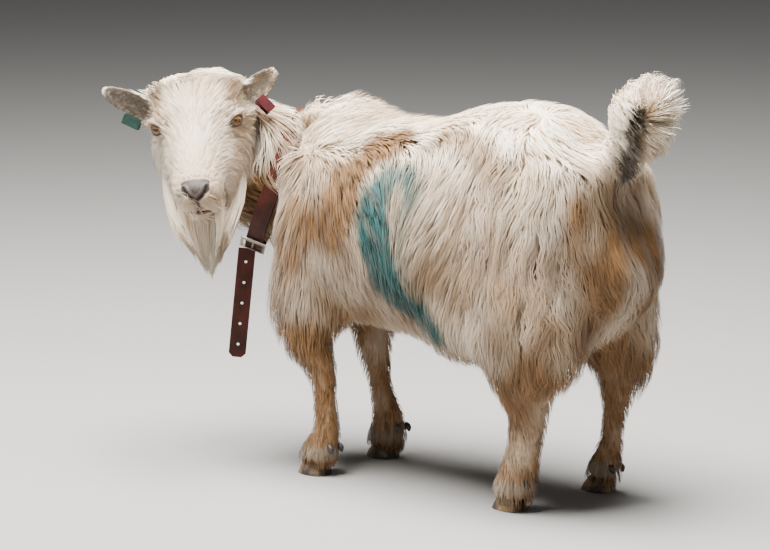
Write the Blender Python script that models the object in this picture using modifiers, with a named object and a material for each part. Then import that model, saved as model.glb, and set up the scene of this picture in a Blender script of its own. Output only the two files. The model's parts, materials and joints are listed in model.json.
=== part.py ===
"""A pygmy goat standing with its tail up and its head turned back over its left shoulder.

Frame: metres, +Z up, floor at z = 0. The trunk faces -Y and the goat's left side is +X.
The solids reach out to the tips of the coat. The flesh is modelled whole and parted by thin cuts.
"""

import math

import bmesh
import bpy
import numpy as np
from mathutils import Matrix, Vector

GAP = 0.0003
BODY_TRIANGLES = 2400
HEAD_TRIANGLES = 700
VOXEL = 0.0045

# Shift that puts the origin under the middle of the bounding box.
ORIGIN_SHIFT = Vector((-0.044, 0.055, 0.0))

# Head frame: -Y runs down the face, +X is the goat's left, the origin is midway between the eyes.
HEAD_ORIGIN = Vector((0.147, -0.3475, 0.489))
HEAD_TURN = math.radians(128.5)
HEAD_PITCH = math.radians(34)
HEAD_ROLL = math.radians(-7)
HEAD_MIDDLE = Vector((0.0, -0.015, -0.025))
HEAD_SWELL = 1.008

EYE_RADIUS = 0.0138
EYE_SIDE = 0.0485
EAR_THICKNESS = 0.005
EAR_HALF_WIDTH = 0.022

HOOF_LENGTH = 0.050
CLAW_WIDTH = 0.0185
CLAW_SPLIT = 0.0022
CORONET_TOE = 0.024
CORONET_HEEL = 0.013
DEWCLAW_RADII = (0.0062, 0.0085, 0.0100)
DEWCLAW_SIDE = 0.0105
DEWCLAW_LEAN = math.radians(-30)

COLLAR_CENTRE = Vector((0.008, -0.318, 0.400))
COLLAR_TURN = math.radians(34)
COLLAR_RISE = math.radians(21)
COLLAR_SIDE = 0.060
COLLAR_HEIGHT = 0.108
STRAP_WIDTH = 0.025
STRAP_THICKNESS = 0.0035
STRAP_END_TOP = Vector((0.0430, -0.3510, 0.300))
STRAP_END_TIP = Vector((0.030, -0.384, 0.143))
STRAP_END_FACE = Vector((0.74, 0.67, 0.0))
STRAP_HOLES = 5
STRAP_HOLE_RADIUS = 0.0022
FIRST_HOLE = 0.020
HOLE_STEP = 0.0305
BUCKLE_ANGLE = -62
BUCKLE_SIZE = (0.038, 0.024, 0.0035)

# Ear tags: how far along the ear, width along its rim, length across it.
TAGS = {"left": (0.36, 0.016, 0.026), "right": (0.36, 0.027, 0.015)}
TAG_THICKNESS = 0.0016
TAG_GAP = 0.0074
TAG_HANG = 0.10

# Trunk, neck and tail stations: x, y, z, half width, reach up, reach down.
TRUNK = [
    (0, -0.316, 0.342, 0.020, 0.034, 0.050),
    (0, -0.296, 0.350, 0.048, 0.085, 0.120),
    (0, -0.255, 0.362, 0.078, 0.140, 0.156),
    (0, -0.205, 0.365, 0.108, 0.158, 0.160),
    (0, -0.150, 0.365, 0.132, 0.148, 0.152),
    (0, -0.080, 0.360, 0.148, 0.150, 0.146),
    (0, 0.000, 0.355, 0.157, 0.168, 0.150),
    (0, 0.060, 0.355, 0.156, 0.184, 0.158),
    (0, 0.120, 0.360, 0.148, 0.190, 0.156),
    (0, 0.180, 0.365, 0.138, 0.190, 0.140),
    (0, 0.230, 0.372, 0.128, 0.186, 0.130),
    (0, 0.275, 0.385, 0.112, 0.162, 0.110),
    (0, 0.308, 0.400, 0.072, 0.105, 0.085),
]
NECK = [
    (-0.004, -0.175, 0.370, 0.100, 0.140, 0.140),
    (-0.003, -0.240, 0.385, 0.084, 0.130, 0.132),
    (0.002, -0.288, 0.395, 0.062, 0.120, 0.114),
    (0.010, -0.322, 0.403, 0.056, 0.114, 0.108),
    (0.028, -0.354, 0.425, 0.056, 0.106, 0.100),
    (0.050, -0.382, 0.455, 0.060, 0.088, 0.096),
    (0.074, -0.396, 0.474, 0.056, 0.066, 0.076),
]
TAIL = [
    (0.000, 0.255, 0.455, 0.030, 0.030, 0.035),
    (0.000, 0.296, 0.490, 0.036, 0.034, 0.036),
    (0.000, 0.318, 0.524, 0.041, 0.042, 0.044),
    (0.000, 0.332, 0.550, 0.041, 0.038, 0.044),
    (0.000, 0.356, 0.570, 0.030, 0.024, 0.038),
    (0.000, 0.388, 0.566, 0.010, 0.012, 0.020),
]

# Leg stations: x, y, z, half width sideways, reach forward, reach back.
FORE_LEFT = [
    (0.088, -0.200, 0.300, 0.045, 0.060, 0.060),
    (0.087, -0.190, 0.225, 0.036, 0.046, 0.046),
    (0.086, -0.180, 0.183, 0.029, 0.035, 0.035),
    (0.084, -0.170, 0.165, 0.024, 0.028, 0.028),
    (0.083, -0.162, 0.140, 0.020, 0.021, 0.021),
    (0.083, -0.160, 0.115, 0.019, 0.019, 0.019),
    (0.083, -0.158, 0.086, 0.020, 0.021, 0.022),
    (0.084, -0.157, 0.064, 0.022, 0.022, 0.024),
    (0.085, -0.162, 0.045, 0.025, 0.028, 0.029),
    (0.086, -0.171, 0.028, 0.025, 0.031, 0.028),
    (0.087, -0.178, 0.002, 0.024, 0.033, 0.026),
]
FORE_RIGHT = [
    (-0.075, -0.212, 0.290, 0.045, 0.058, 0.058),
    (-0.066, -0.205, 0.220, 0.034, 0.043, 0.043),
    (-0.061, -0.199, 0.176, 0.027, 0.031, 0.031),
    (-0.060, -0.191, 0.143, 0.021, 0.022, 0.023),
    (-0.060, -0.187, 0.119, 0.019, 0.019, 0.020),
    (-0.060, -0.181, 0.098, 0.019, 0.019, 0.021),
    (-0.060, -0.175, 0.077, 0.021, 0.023, 0.027),
    (-0.060, -0.168, 0.054, 0.024, 0.029, 0.031),
    (-0.060, -0.170, 0.033, 0.026, 0.034, 0.031),
    (-0.060, -0.180, 0.002, 0.025, 0.036, 0.028),
]
HIND_LEFT = [
    (0.085, 0.190, 0.370, 0.055, 0.090, 0.085),
    (0.094, 0.195, 0.300, 0.060, 0.092, 0.098),
    (0.092, 0.206, 0.240, 0.056, 0.076, 0.094),
    (0.086, 0.210, 0.205, 0.046, 0.056, 0.070),
    (0.080, 0.207, 0.180, 0.034, 0.045, 0.044),
    (0.077, 0.204, 0.160, 0.029, 0.040, 0.040),
    (0.075, 0.205, 0.138, 0.025, 0.032, 0.034),
    (0.075, 0.201, 0.105, 0.023, 0.028, 0.030),
    (0.074, 0.196, 0.080, 0.023, 0.029, 0.031),
    (0.073, 0.189, 0.058, 0.024, 0.030, 0.032),
    (0.072, 0.180, 0.036, 0.026, 0.032, 0.032),
    (0.071, 0.172, 0.002, 0.025, 0.034, 0.028),
]
HIND_RIGHT = [
    (-0.085, 0.190, 0.370, 0.055, 0.090, 0.090),
    (-0.094, 0.205, 0.300, 0.058, 0.086, 0.086),
    (-0.096, 0.218, 0.240, 0.052, 0.070, 0.070),
    (-0.098, 0.224, 0.200, 0.040, 0.050, 0.054),
    (-0.099, 0.224, 0.168, 0.027, 0.035, 0.036),
    (-0.099, 0.219, 0.144, 0.022, 0.024, 0.025),
    (-0.099, 0.217, 0.125, 0.020, 0.020, 0.021),
    (-0.099, 0.215, 0.107, 0.018, 0.019, 0.019),
    (-0.099, 0.212, 0.076, 0.018, 0.019, 0.020),
    (-0.099, 0.205, 0.053, 0.021, 0.023, 0.025),
    (-0.099, 0.198, 0.034, 0.023, 0.027, 0.026),
    (-0.099, 0.190, 0.002, 0.024, 0.030, 0.026),
]
LEGS = {
    "fore_left": (FORE_LEFT, Vector((0.087, -0.178, 0.0))),
    "fore_right": (FORE_RIGHT, Vector((-0.060, -0.180, 0.0))),
    "hind_left": (HIND_LEFT, Vector((0.071, 0.170, 0.0))),
    "hind_right": (HIND_RIGHT, Vector((-0.099, 0.189, 0.0))),
}

# Head stations in the head frame, back to front: x, y, z, half width, reach up, reach down.
SKULL = [
    (0, 0.090, -0.010, 0.030, 0.026, 0.034),
    (0, 0.066, -0.010, 0.058, 0.050, 0.070),
    (0, 0.034, -0.010, 0.066, 0.058, 0.088),
    (0, 0.000, -0.010, 0.057, 0.056, 0.088),
    (0, -0.032, -0.010, 0.053, 0.044, 0.078),
    (0, -0.062, -0.010, 0.047, 0.035, 0.070),
    (0, -0.092, -0.010, 0.040, 0.028, 0.064),
    (0, -0.118, -0.010, 0.037, 0.023, 0.059),
    (0, -0.137, -0.012, 0.031, 0.017, 0.046),
    (0, -0.149, -0.014, 0.014, 0.006, 0.022),
]
BEARD = [
    (0.1500, -0.3300, 0.3920, 0.044, 0.034, 0.034),
    (0.1520, -0.3270, 0.3620, 0.043, 0.032, 0.030),
    (0.1520, -0.3240, 0.3350, 0.036, 0.026, 0.024),
    (0.1510, -0.3210, 0.3100, 0.025, 0.018, 0.016),
    (0.1500, -0.3190, 0.2900, 0.013, 0.010, 0.009),
    (0.1490, -0.3170, 0.2700, 0.003, 0.003, 0.003),
]

# Rounded masses laid over the stations: middle and radii.
MASSES = {
    "throat": ((0.094, -0.386, 0.468), (0.046, 0.046, 0.060)),
    "withers": ((0, -0.205, 0.475), (0.050, 0.074, 0.066)),
    "brisket": ((0, -0.275, 0.240), (0.075, 0.042, 0.075)),
    "shoulder_left": ((0.084, -0.180, 0.330), (0.050, 0.075, 0.105)),
    "shoulder_right": ((-0.082, -0.188, 0.330), (0.050, 0.080, 0.108)),
    "flank": ((0, 0.090, 0.260), (0.110, 0.120, 0.072)),
    "flank_left": ((0.084, 0.120, 0.280), (0.060, 0.120, 0.085)),
    "flank_right": ((-0.082, 0.120, 0.285), (0.058, 0.115, 0.080)),
    "elbow_left": ((0.078, -0.170, 0.255), (0.044, 0.060, 0.055)),
    "elbow_right": ((-0.074, -0.175, 0.255), (0.044, 0.060, 0.055)),
    "buttock_left": ((0.062, 0.245, 0.400), (0.060, 0.062, 0.105)),
    "buttock_right": ((-0.062, 0.245, 0.400), (0.060, 0.062, 0.105)),
}
# The same on the head, for the left side: the right side mirrors them.
HEAD_MASSES = {
    "cheek": ((0.038, 0.022, -0.052), (0.038, 0.056, 0.052)),
    "jowl": ((0.035, -0.030, -0.062), (0.032, 0.060, 0.042)),
    "poll": ((0.036, 0.042, 0.012), (0.034, 0.034, 0.034)),
}
CHIN = ((0, -0.104, -0.060), (0.030, 0.030, 0.028))

# Ears in the head frame: root, tip, way the hollow faces.
EARS = {
    "left": (Vector((0.060, 0.046, -0.008)), Vector((0.112, 0.100, 0.000)), Vector((0.2, -0.9, 0.4))),
    "right": (Vector((-0.060, 0.044, -0.010)), Vector((-0.134, 0.080, 0.017)), Vector((-0.2, -0.9, 0.2))),
}

# Boxes that hold each leg up into shoulder or thigh: middle, half sizes, turn about Y.
LEG_CELLS = {
    "fore_left": ((0.142, -0.185, 0.140), (0.100, 0.068, 0.170), 8),
    "fore_right": ((-0.134, -0.195, 0.140), (0.100, 0.066, 0.170), -8),
    "hind_left": ((0.142, 0.240, 0.170), (0.105, 0.116, 0.215), 8),
    "hind_right": ((-0.150, 0.244, 0.170), (0.105, 0.116, 0.215), -8),
}
LEG_LEVELS = {
    "fore_left": (0.192, 0.110),
    "fore_right": (0.192, 0.106),
    "hind_left": (0.196, 0.132),
    "hind_right": (0.192, 0.126),
}
# Dewclaws sit behind the fetlock: height and how far behind the middle of the sole.
DEWCLAWS = {
    "fore_left": (0.043, 0.0465),
    "fore_right": (0.049, 0.0455),
    "hind_left": (0.042, 0.0440),
    "hind_right": (0.037, 0.0380),
}

# Base colour, roughness and metal of each material.
COLOURS = {
    "coat_cream": ((0.78, 0.70, 0.58), 0.85, 0.0),
    "coat_tan": ((0.50, 0.34, 0.20), 0.85, 0.0),
    "eye_amber": ((0.50, 0.30, 0.12), 0.12, 0.0),
    "horn_tan": ((0.32, 0.23, 0.15), 0.5, 0.0),
    "horn_dark": ((0.05, 0.045, 0.04), 0.5, 0.0),
    "leather_brown": ((0.12, 0.035, 0.02), 0.5, 0.0),
    "steel_dark": ((0.25, 0.24, 0.22), 0.35, 1.0),
    "plastic_red": ((0.45, 0.02, 0.03), 0.4, 0.0),
    "plastic_teal": ((0.05, 0.25, 0.22), 0.4, 0.0),
}


def clear_scene():
    """Removes every object of the startup scene."""
    for obj in list(bpy.data.objects):
        bpy.data.objects.remove(obj, do_unlink=True)


def new_collection(name):
    """An empty collection in the scene."""
    found = bpy.data.collections.new(name)
    bpy.context.scene.collection.children.link(found)
    return found


def new_material(name):
    """One of the goat's materials, by its name in COLOURS."""
    colour, roughness, metallic = COLOURS[name]
    material = bpy.data.materials.new(name)
    material.use_nodes = True
    shader = material.node_tree.nodes["Principled BSDF"]
    shader.inputs["Base Color"].default_value = (*colour, 1.0)
    shader.inputs["Roughness"].default_value = roughness
    shader.inputs["Metallic"].default_value = metallic
    material.diffuse_color = (*colour, 1.0)
    return material


def add_object(name, mesh, material=None, helper=False):
    """The mesh as an object of the goat or, as a helper, of the hidden cutters."""
    obj = bpy.data.objects.new(name, mesh)
    (cutters if helper else goat).objects.link(obj)
    if helper:
        obj.hide_render = True
        obj.display_type = "WIRE"
    if material:
        obj.data.materials.clear()
        obj.data.materials.append(materials[material])
    return obj


def mesh_of(name, points, faces):
    """A closed mesh with its faces turned outward."""
    mesh = bpy.data.meshes.new(name)
    mesh.from_pydata([tuple(p) for p in points], [], faces)
    shape = bmesh.new()
    shape.from_mesh(mesh)
    bmesh.ops.recalc_face_normals(shape, faces=shape.faces)
    if shape.calc_volume(signed=True) < 0:
        bmesh.ops.reverse_faces(shape, faces=shape.faces)
    shape.to_mesh(mesh)
    shape.free()
    return mesh


def smooth_rows(rows, steps):
    """Catmull-Rom curve through the rows of a station table."""
    rows = np.array(rows, float)
    ends = np.vstack([2 * rows[0] - rows[1], rows, 2 * rows[-1] - rows[-2]])
    found = []
    for a, b, c, d in zip(ends, ends[1:], ends[2:], ends[3:]):
        for t in np.arange(steps) / steps:
            bend = 2 * a - 5 * b + 4 * c - d
            twist = 3 * b - a - 3 * c + d
            found.append((2 * b + (c - a) * t + bend * t**2 + twist * t**3) / 2)
    found.append(rows[-1])
    return np.array(found)


def tube_mesh(name, stations, steps=3, sides=24, power=2.0, up=(0, 0, 1)):
    """Loft of super-elliptic rings. A station is x, y, z, half width, reach up, reach down."""
    rows = smooth_rows(stations, steps)
    rows[:, 3:] = np.maximum(rows[:, 3:], 0.001)
    centres = rows[:, :3]
    along = np.gradient(centres, axis=0)
    angles = np.arange(sides) / sides * 2 * math.pi
    across = np.sign(np.cos(angles)) * np.abs(np.cos(angles)) ** (2 / power)
    rise = np.sign(np.sin(angles)) * np.abs(np.sin(angles)) ** (2 / power)
    points = []
    for row, direction in zip(rows, along):
        direction = direction / np.linalg.norm(direction)
        side = np.cross(direction, up)
        side = side / np.linalg.norm(side)
        top = np.cross(side, direction)
        reach = np.where(rise > 0, row[4], row[5]) * rise
        points.extend(row[:3] + np.outer(across * row[3], side) + np.outer(reach, top))
    count = len(rows)
    faces = []
    for ring in range(count - 1):
        for k in range(sides):
            after = (k + 1) % sides
            low, high = ring * sides, (ring + 1) * sides
            faces.append((low + k, low + after, high + after, high + k))
    faces.append(tuple(range(sides)))
    faces.append(tuple(range((count - 1) * sides, count * sides)))
    return mesh_of(name, points, faces)


def ball_mesh(name, centre, radii, turn=None, rings=16):
    """An ellipsoid, turned about its own middle."""
    mesh = bpy.data.meshes.new(name)
    shape = bmesh.new()
    bmesh.ops.create_uvsphere(shape, u_segments=2 * rings, v_segments=rings, radius=1.0)
    place = Matrix.Translation(centre) @ (turn or Matrix.Identity(4)) @ Matrix.Diagonal((*radii, 1.0))
    bmesh.ops.transform(shape, matrix=place, verts=shape.verts)
    shape.to_mesh(mesh)
    shape.free()
    return mesh


def joined(name, meshes):
    """One mesh that holds all the given meshes."""
    shape = bmesh.new()
    for mesh in meshes:
        shape.from_mesh(mesh)
    result = bpy.data.meshes.new(name)
    shape.to_mesh(result)
    shape.free()
    return result


def settled(obj, name):
    """The mesh of the object with all its modifiers applied, triangulated and welded."""
    graph = bpy.context.evaluated_depsgraph_get()
    graph.update()
    mesh = bpy.data.meshes.new_from_object(obj.evaluated_get(graph))
    mesh.name = name
    shape = bmesh.new()
    shape.from_mesh(mesh)
    bmesh.ops.remove_doubles(shape, verts=shape.verts, dist=0.00001)
    bmesh.ops.triangulate(shape, faces=shape.faces)
    shape.to_mesh(mesh)
    shape.free()
    return mesh


def fused(name, meshes, triangles, voxel=VOXEL, smoothing=8, smooth_above=None):
    """The meshes melted into one closed skin and thinned to the wanted number of triangles."""
    obj = add_object(name + "_form", joined(name + "_form", meshes), helper=True)
    melt = obj.modifiers.new("melt", "REMESH")
    melt.mode = "VOXEL"
    melt.voxel_size = voxel
    skin = settled(obj, name)
    bpy.data.objects.remove(obj, do_unlink=True)
    obj = add_object(name + "_skin", skin, helper=True)
    soften = obj.modifiers.new("soften", "SMOOTH")
    soften.factor = 0.5
    soften.iterations = smoothing
    if smooth_above:
        low, high = smooth_above
        group = obj.vertex_groups.new(name="upper")
        for vertex in skin.vertices:
            weight = (vertex.co.z - low) / (high - low)
            group.add([vertex.index], min(1.0, max(0.06, weight)), "REPLACE")
        soften.vertex_group = "upper"
    thin = obj.modifiers.new("thin", "DECIMATE")
    thin.ratio = triangles / len(skin.polygons)
    thin.use_collapse_triangulate = True
    mesh = settled(obj, name)
    bpy.data.objects.remove(obj, do_unlink=True)
    return mesh


def grown(mesh, amount):
    """A copy of a mesh pushed out along its normals."""
    shape = bmesh.new()
    shape.from_mesh(mesh)
    shape.normal_update()
    moves = [(v, v.normal * amount) for v in shape.verts]
    for vertex, move in moves:
        vertex.co += move
    result = bpy.data.meshes.new(mesh.name + "_grown")
    shape.to_mesh(result)
    shape.free()
    return result


def hull_mesh(mesh):
    """The convex hull of a mesh."""
    shape = bmesh.new()
    shape.from_mesh(mesh)
    found = bmesh.ops.convex_hull(shape, input=shape.verts)
    inner = [v for v in found["geom_interior"] if isinstance(v, bmesh.types.BMVert)]
    bmesh.ops.delete(shape, geom=inner, context="VERTS")
    loose = [f for f in shape.faces if f not in set(found["geom"])]
    bmesh.ops.delete(shape, geom=loose, context="FACES")
    result = bpy.data.meshes.new("hull")
    bmesh.ops.recalc_face_normals(shape, faces=shape.faces)
    shape.to_mesh(result)
    shape.free()
    return result


def swollen(mesh, centre, factor):
    """A copy of a mesh scaled about a point inside it."""
    result = mesh.copy()
    result.transform(Matrix.Translation(centre) @ Matrix.Scale(factor, 4) @ Matrix.Translation(-centre))
    return result


def trimmed(mesh, cutter_mesh, operation="DIFFERENCE"):
    """The mesh less the cutter, or their common part."""
    obj = add_object("whole", mesh, helper=True)
    cutter = add_object("cutter", cutter_mesh, helper=True)
    boolean = obj.modifiers.new("trim", "BOOLEAN")
    boolean.operation = operation
    boolean.solver = "EXACT"
    boolean.object = cutter
    result = settled(obj, "trimmed")
    bpy.data.objects.remove(obj, do_unlink=True)
    bpy.data.objects.remove(cutter, do_unlink=True)
    return result


def largest(mesh):
    """The mesh without the loose crumbs that a cut can leave beside its main piece."""
    shape = bmesh.new()
    shape.from_mesh(mesh)
    pieces, seen = [], set()
    for start in shape.verts:
        if start in seen:
            continue
        piece, queue = [], [start]
        seen.add(start)
        while queue:
            vertex = queue.pop()
            piece.append(vertex)
            for edge in vertex.link_edges:
                other = edge.other_vert(vertex)
                if other not in seen:
                    seen.add(other)
                    queue.append(other)
        pieces.append(piece)
    pieces.sort(key=len, reverse=True)
    crumbs = [vertex for piece in pieces[1:] for vertex in piece]
    bmesh.ops.delete(shape, geom=crumbs, context="VERTS")
    shape.to_mesh(mesh)
    shape.free()
    return mesh


def box_mesh(name, size, place, bevel=0.0):
    """A box of the given sizes, with its edges cut by the bevel."""
    mesh = bpy.data.meshes.new(name)
    shape = bmesh.new()
    bmesh.ops.create_cube(shape, size=1.0)
    bmesh.ops.scale(shape, vec=size, verts=shape.verts)
    if bevel:
        bmesh.ops.bevel(shape, geom=shape.edges, offset=bevel, segments=1, affect="EDGES")
    bmesh.ops.transform(shape, matrix=place, verts=shape.verts)
    shape.to_mesh(mesh)
    shape.free()
    return mesh


def box_parted(mesh, place, half):
    """The parts of the mesh inside and outside a box, with the gap between them."""
    inside = trimmed(mesh, box_mesh("cell", [2 * h for h in half], place), "INTERSECT")
    outside = trimmed(mesh, box_mesh("cell", [2 * h + 2 * GAP for h in half], place))
    return inside, outside


def plane_parted(mesh, centre, normal):
    """The parts of the mesh in front of and behind an endless plane."""
    reach = 2.0
    turn = Vector(normal).to_track_quat("Z", "Y").to_matrix().to_4x4()
    parts = []
    for side in (1, -1):
        middle = Vector(centre) + Vector(normal).normalized() * side * (reach / 2 + GAP / 2)
        place = Matrix.Translation(middle) @ turn
        parts.append(trimmed(mesh, box_mesh("half_space", (reach, reach, reach), place), "INTERSECT"))
    return parts


def head_matrix():
    """The place of the head frame in the trunk's axes."""
    turned = Matrix.Rotation(HEAD_TURN, 4, "Z")
    rolled = Matrix.Rotation(HEAD_ROLL, 4, "Y")
    pitched = Matrix.Rotation(HEAD_PITCH, 4, "X")
    return Matrix.Translation(HEAD_ORIGIN) @ turned @ rolled @ pitched


def in_head(mesh):
    """The mesh carried from the head frame to the trunk's axes."""
    mesh.transform(head_matrix())
    return mesh


def skull_forms():
    """The overlapping forms of the head, in the head frame."""
    forms = [tube_mesh("skull", SKULL, power=2.3)]
    for side in (-1, 1):
        for name, (middle, radii) in HEAD_MASSES.items():
            forms.append(ball_mesh(name, (side * middle[0], *middle[1:]), radii))
    forms.append(ball_mesh("chin", *CHIN))
    return forms


def flesh_forms():
    """The overlapping forms of trunk, neck, tail and legs."""
    forms = [
        tube_mesh("trunk", TRUNK, power=2.15),
        tube_mesh("neck", NECK),
        tube_mesh("tail", TAIL),
    ]
    for name, (middle, radii) in MASSES.items():
        forms.append(ball_mesh(name, middle, radii))
    for name, (stations, sole) in LEGS.items():
        forms.append(tube_mesh(name, stations, sides=20, up=(0, -1, 0)))
    return forms


def coronet_height(forward):
    """Height of the hoof's top edge, from the heel (0) to the toe (1)."""
    return CORONET_HEEL + (CORONET_TOE - CORONET_HEEL) * forward


def coronet_mesh(sole):
    """The wedge under a leg, from the hoof's top edge down past the floor."""
    points = []
    for x in (-0.05, 0.05):
        for y, forward in ((-0.7 * HOOF_LENGTH, 1.2), (HOOF_LENGTH, -0.5)):
            for z in (-0.03, coronet_height(forward)):
                points.append((sole.x + x, sole.y + y, z))
    faces = [(0, 1, 3, 2), (4, 6, 7, 5), (0, 4, 5, 1), (2, 3, 7, 6), (0, 2, 6, 4), (1, 5, 7, 3)]
    return mesh_of("coronet", points, faces)


def claw_mesh(name, sole, side):
    """One hoof claw: straight inner wall, curved outer wall, flat sole on the floor."""
    arc = [math.radians(a) for a in range(-90, 91, 30)]
    points = []
    for level, spread in ((0.0, 1.0), (0.45, 0.98), (1.0, 0.86)):
        for turn in arc:
            along = math.sin(turn)
            width = CLAW_WIDTH * math.cos(turn) ** 0.6 * (1 - 0.18 * max(0.0, along)) * spread
            lean = 0.005 * level * (1 + along)
            y = lean - HOOF_LENGTH / 2 * along * spread
            lift = level * (coronet_height(0.5 - y / HOOF_LENGTH) - 1.2 * GAP)
            points.append((sole.x + side * (CLAW_SPLIT / 2 + width), sole.y + y, lift))
    count = len(arc)
    faces = []
    for ring in range(2):
        for k in range(count):
            after = (k + 1) % count
            low, high = ring * count, (ring + 1) * count
            faces.append((low + k, low + after, high + after, high + k))
    faces.append(tuple(range(count)))
    faces.append(tuple(range(2 * count, 3 * count)))
    return mesh_of(name, points, faces)


def ear_axes(label):
    """The ear's way to its tip, the way its hollow faces and the way across it."""
    root, tip, opening = EARS[label]
    along = (tip - root).normalized()
    front = (opening - along * along.dot(opening)).normalized()
    return along, front, along.cross(front)


def ear_mesh(label):
    """A cupped leaf from root to tip, in the head frame."""
    root, tip, opening = EARS[label]
    along, front, side = ear_axes(label)
    arc = [math.radians(a) for a in range(-90, 91, 30)]
    points, count = [], 2 * len(arc)
    steps = 5
    for step in range(steps + 1):
        t = step / steps
        width = EAR_HALF_WIDTH * math.sin(math.pi * (0.30 + 0.68 * t)) ** 0.6
        cup = 0.75 * width * (1 - 0.55 * t)
        middle = root.lerp(tip, t) - front * (0.006 * math.sin(math.pi * t))
        for layer, turns in ((1, arc), (-1, reversed(arc))):
            for turn in turns:
                deep = cup * (1 - math.cos(turn)) + layer * -EAR_THICKNESS / 2 * math.cos(turn) ** 0.5
                reach = math.sin(turn) * (width - 0.3 * EAR_THICKNESS * (layer < 0))
                points.append(middle + side * reach + front * deep)
    faces = []
    for ring in range(steps):
        for k in range(count):
            after = (k + 1) % count
            low, high = ring * count, (ring + 1) * count
            faces.append((low + k, low + after, high + after, high + k))
    faces.append(tuple(range(count)))
    faces.append(tuple(range(steps * count, (steps + 1) * count)))
    mesh = mesh_of("ear", points, faces)
    shape = bmesh.new()
    shape.from_mesh(mesh)
    bmesh.ops.remove_doubles(shape, verts=shape.verts, dist=0.0002)
    bmesh.ops.triangulate(shape, faces=shape.faces)
    shape.to_mesh(mesh)
    shape.free()
    return mesh


def collar_matrix():
    """+Z runs forward along the neck, +Y up to the nape, +X to the goat's left."""
    level = math.cos(COLLAR_RISE)
    forward = Vector((math.sin(COLLAR_TURN) * level, -math.cos(COLLAR_TURN) * level, math.sin(COLLAR_RISE)))
    left = Vector((0, 0, 1)).cross(forward).normalized()
    nape = forward.cross(left)
    place = Matrix((left, nape, forward)).transposed().to_4x4()
    return Matrix.Translation(COLLAR_CENTRE) @ place


def band_mesh(name, inner, outer, half_width, count=24):
    """A closed ring around the neck, from the inner to the outer offset of the collar's oval."""
    points, faces = [], []
    for k in range(count):
        turn = 2 * math.pi * k / count
        corners = ((inner, -half_width), (outer, -half_width), (outer, half_width), (inner, half_width))
        for offset, z in corners:
            side, rise = COLLAR_SIDE + offset, COLLAR_HEIGHT + offset
            points.append((side * math.cos(turn), rise * math.sin(turn), z))
        after = (k + 1) % count
        for c in range(4):
            d = (c + 1) % 4
            faces.append((4 * k + c, 4 * k + d, 4 * after + d, 4 * after + c))
    mesh = mesh_of(name, points, faces)
    mesh.transform(collar_matrix())
    return mesh


def tag_mesh(label):
    """A folded tag that straddles the lower rim of an ear, in the head frame."""
    root, tip, opening = EARS[label]
    place, width, length = TAGS[label]
    along, front, side = ear_axes(label)
    down = side if side.z < 0 else -side
    rim = root.lerp(tip, place) + down * EAR_HALF_WIDTH * 0.92 + front * EAR_HALF_WIDTH * 0.42
    out = (down * 0.85 + front * 0.35).normalized()
    turn = Matrix((along, out, along.cross(out))).transposed().to_4x4()
    plates = box_mesh("tag", (width, length, TAG_GAP + 2 * TAG_THICKNESS), Matrix.Identity(4), bevel=0.0004)
    slot = box_mesh("slot", (2 * width, length, TAG_GAP), Matrix.Translation((0, -TAG_THICKNESS, 0)))
    mesh = trimmed(plates, slot)
    mesh.transform(Matrix.Translation(rim + out * length * TAG_HANG) @ turn)
    return mesh


def facing(point, normal, down):
    """Frame with +Z along normal and -Y along down."""
    z = Vector(normal).normalized()
    y = -(Vector(down) - z * z.dot(Vector(down))).normalized()
    x = y.cross(z)
    return Matrix.Translation(Vector(point)) @ Matrix((x, y, z)).transposed().to_4x4()


def collar_frame(angle, offset):
    """Frame on the strap's outer face: +Z outward, +X along the neck, -Y down the strap."""
    place = collar_matrix()
    turn = math.radians(angle)
    point = Vector(((COLLAR_SIDE + offset) * math.cos(turn), (COLLAR_HEIGHT + offset) * math.sin(turn), 0))
    outward = Vector((math.cos(turn) / COLLAR_SIDE, math.sin(turn) / COLLAR_HEIGHT, 0)).normalized()
    upward = Vector((-outward.y, outward.x, 0))
    axes = Matrix((upward.cross(outward), upward, outward)).transposed().to_4x4()
    return place @ Matrix.Translation(point) @ axes


def buckle_mesh():
    """A flat frame with its tongue, just outside the strap."""
    place = collar_frame(BUCKLE_ANGLE, STRAP_THICKNESS - 0.003 + 0.003)
    wide, high, bar = BUCKLE_SIZE
    frame = box_mesh("frame", (wide, high, bar), Matrix.Identity(4), bevel=bar / 4)
    frame = trimmed(frame, box_mesh("window", (wide - 2 * bar, high - 2 * bar, 0.02), Matrix.Identity(4)))
    tongue = box_mesh("tongue", (0.0024, high - bar, 0.0022), Matrix.Identity(4), bevel=0.0004)
    mesh = trimmed(frame, tongue, "UNION")
    mesh.transform(place)
    return mesh


def strap_end_mesh():
    """The loose end that hangs from the buckle, with its row of punched holes."""
    place = facing(STRAP_END_TOP, STRAP_END_FACE, STRAP_END_TIP - STRAP_END_TOP)
    length = (STRAP_END_TIP - STRAP_END_TOP).length
    half, rounding = STRAP_WIDTH / 2, 0.006
    outline = [(-half, 0.0), (-half, -length + rounding), (-half + rounding, -length)]
    outline += [(half - rounding, -length), (half, -length + rounding), (half, 0.0)]
    points = [(x, y, z) for z in (-STRAP_THICKNESS / 2, STRAP_THICKNESS / 2) for x, y in outline]
    count = len(outline)
    faces = [tuple(range(count)), tuple(range(count, 2 * count))]
    faces += [(k, (k + 1) % count, (k + 1) % count + count, k + count) for k in range(count)]
    mesh = mesh_of("strap_end", points, faces)
    for hole in range(STRAP_HOLES):
        punch = bpy.data.meshes.new("punch")
        shape = bmesh.new()
        middle = Matrix.Translation((0, -FIRST_HOLE - hole * HOLE_STEP, 0))
        bmesh.ops.create_cone(
            shape, cap_ends=True, segments=8, depth=0.02, matrix=middle,
            radius1=STRAP_HOLE_RADIUS, radius2=STRAP_HOLE_RADIUS,
        )
        shape.to_mesh(punch)
        shape.free()
        mesh = trimmed(mesh, punch)
    mesh.transform(place)
    return mesh


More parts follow.
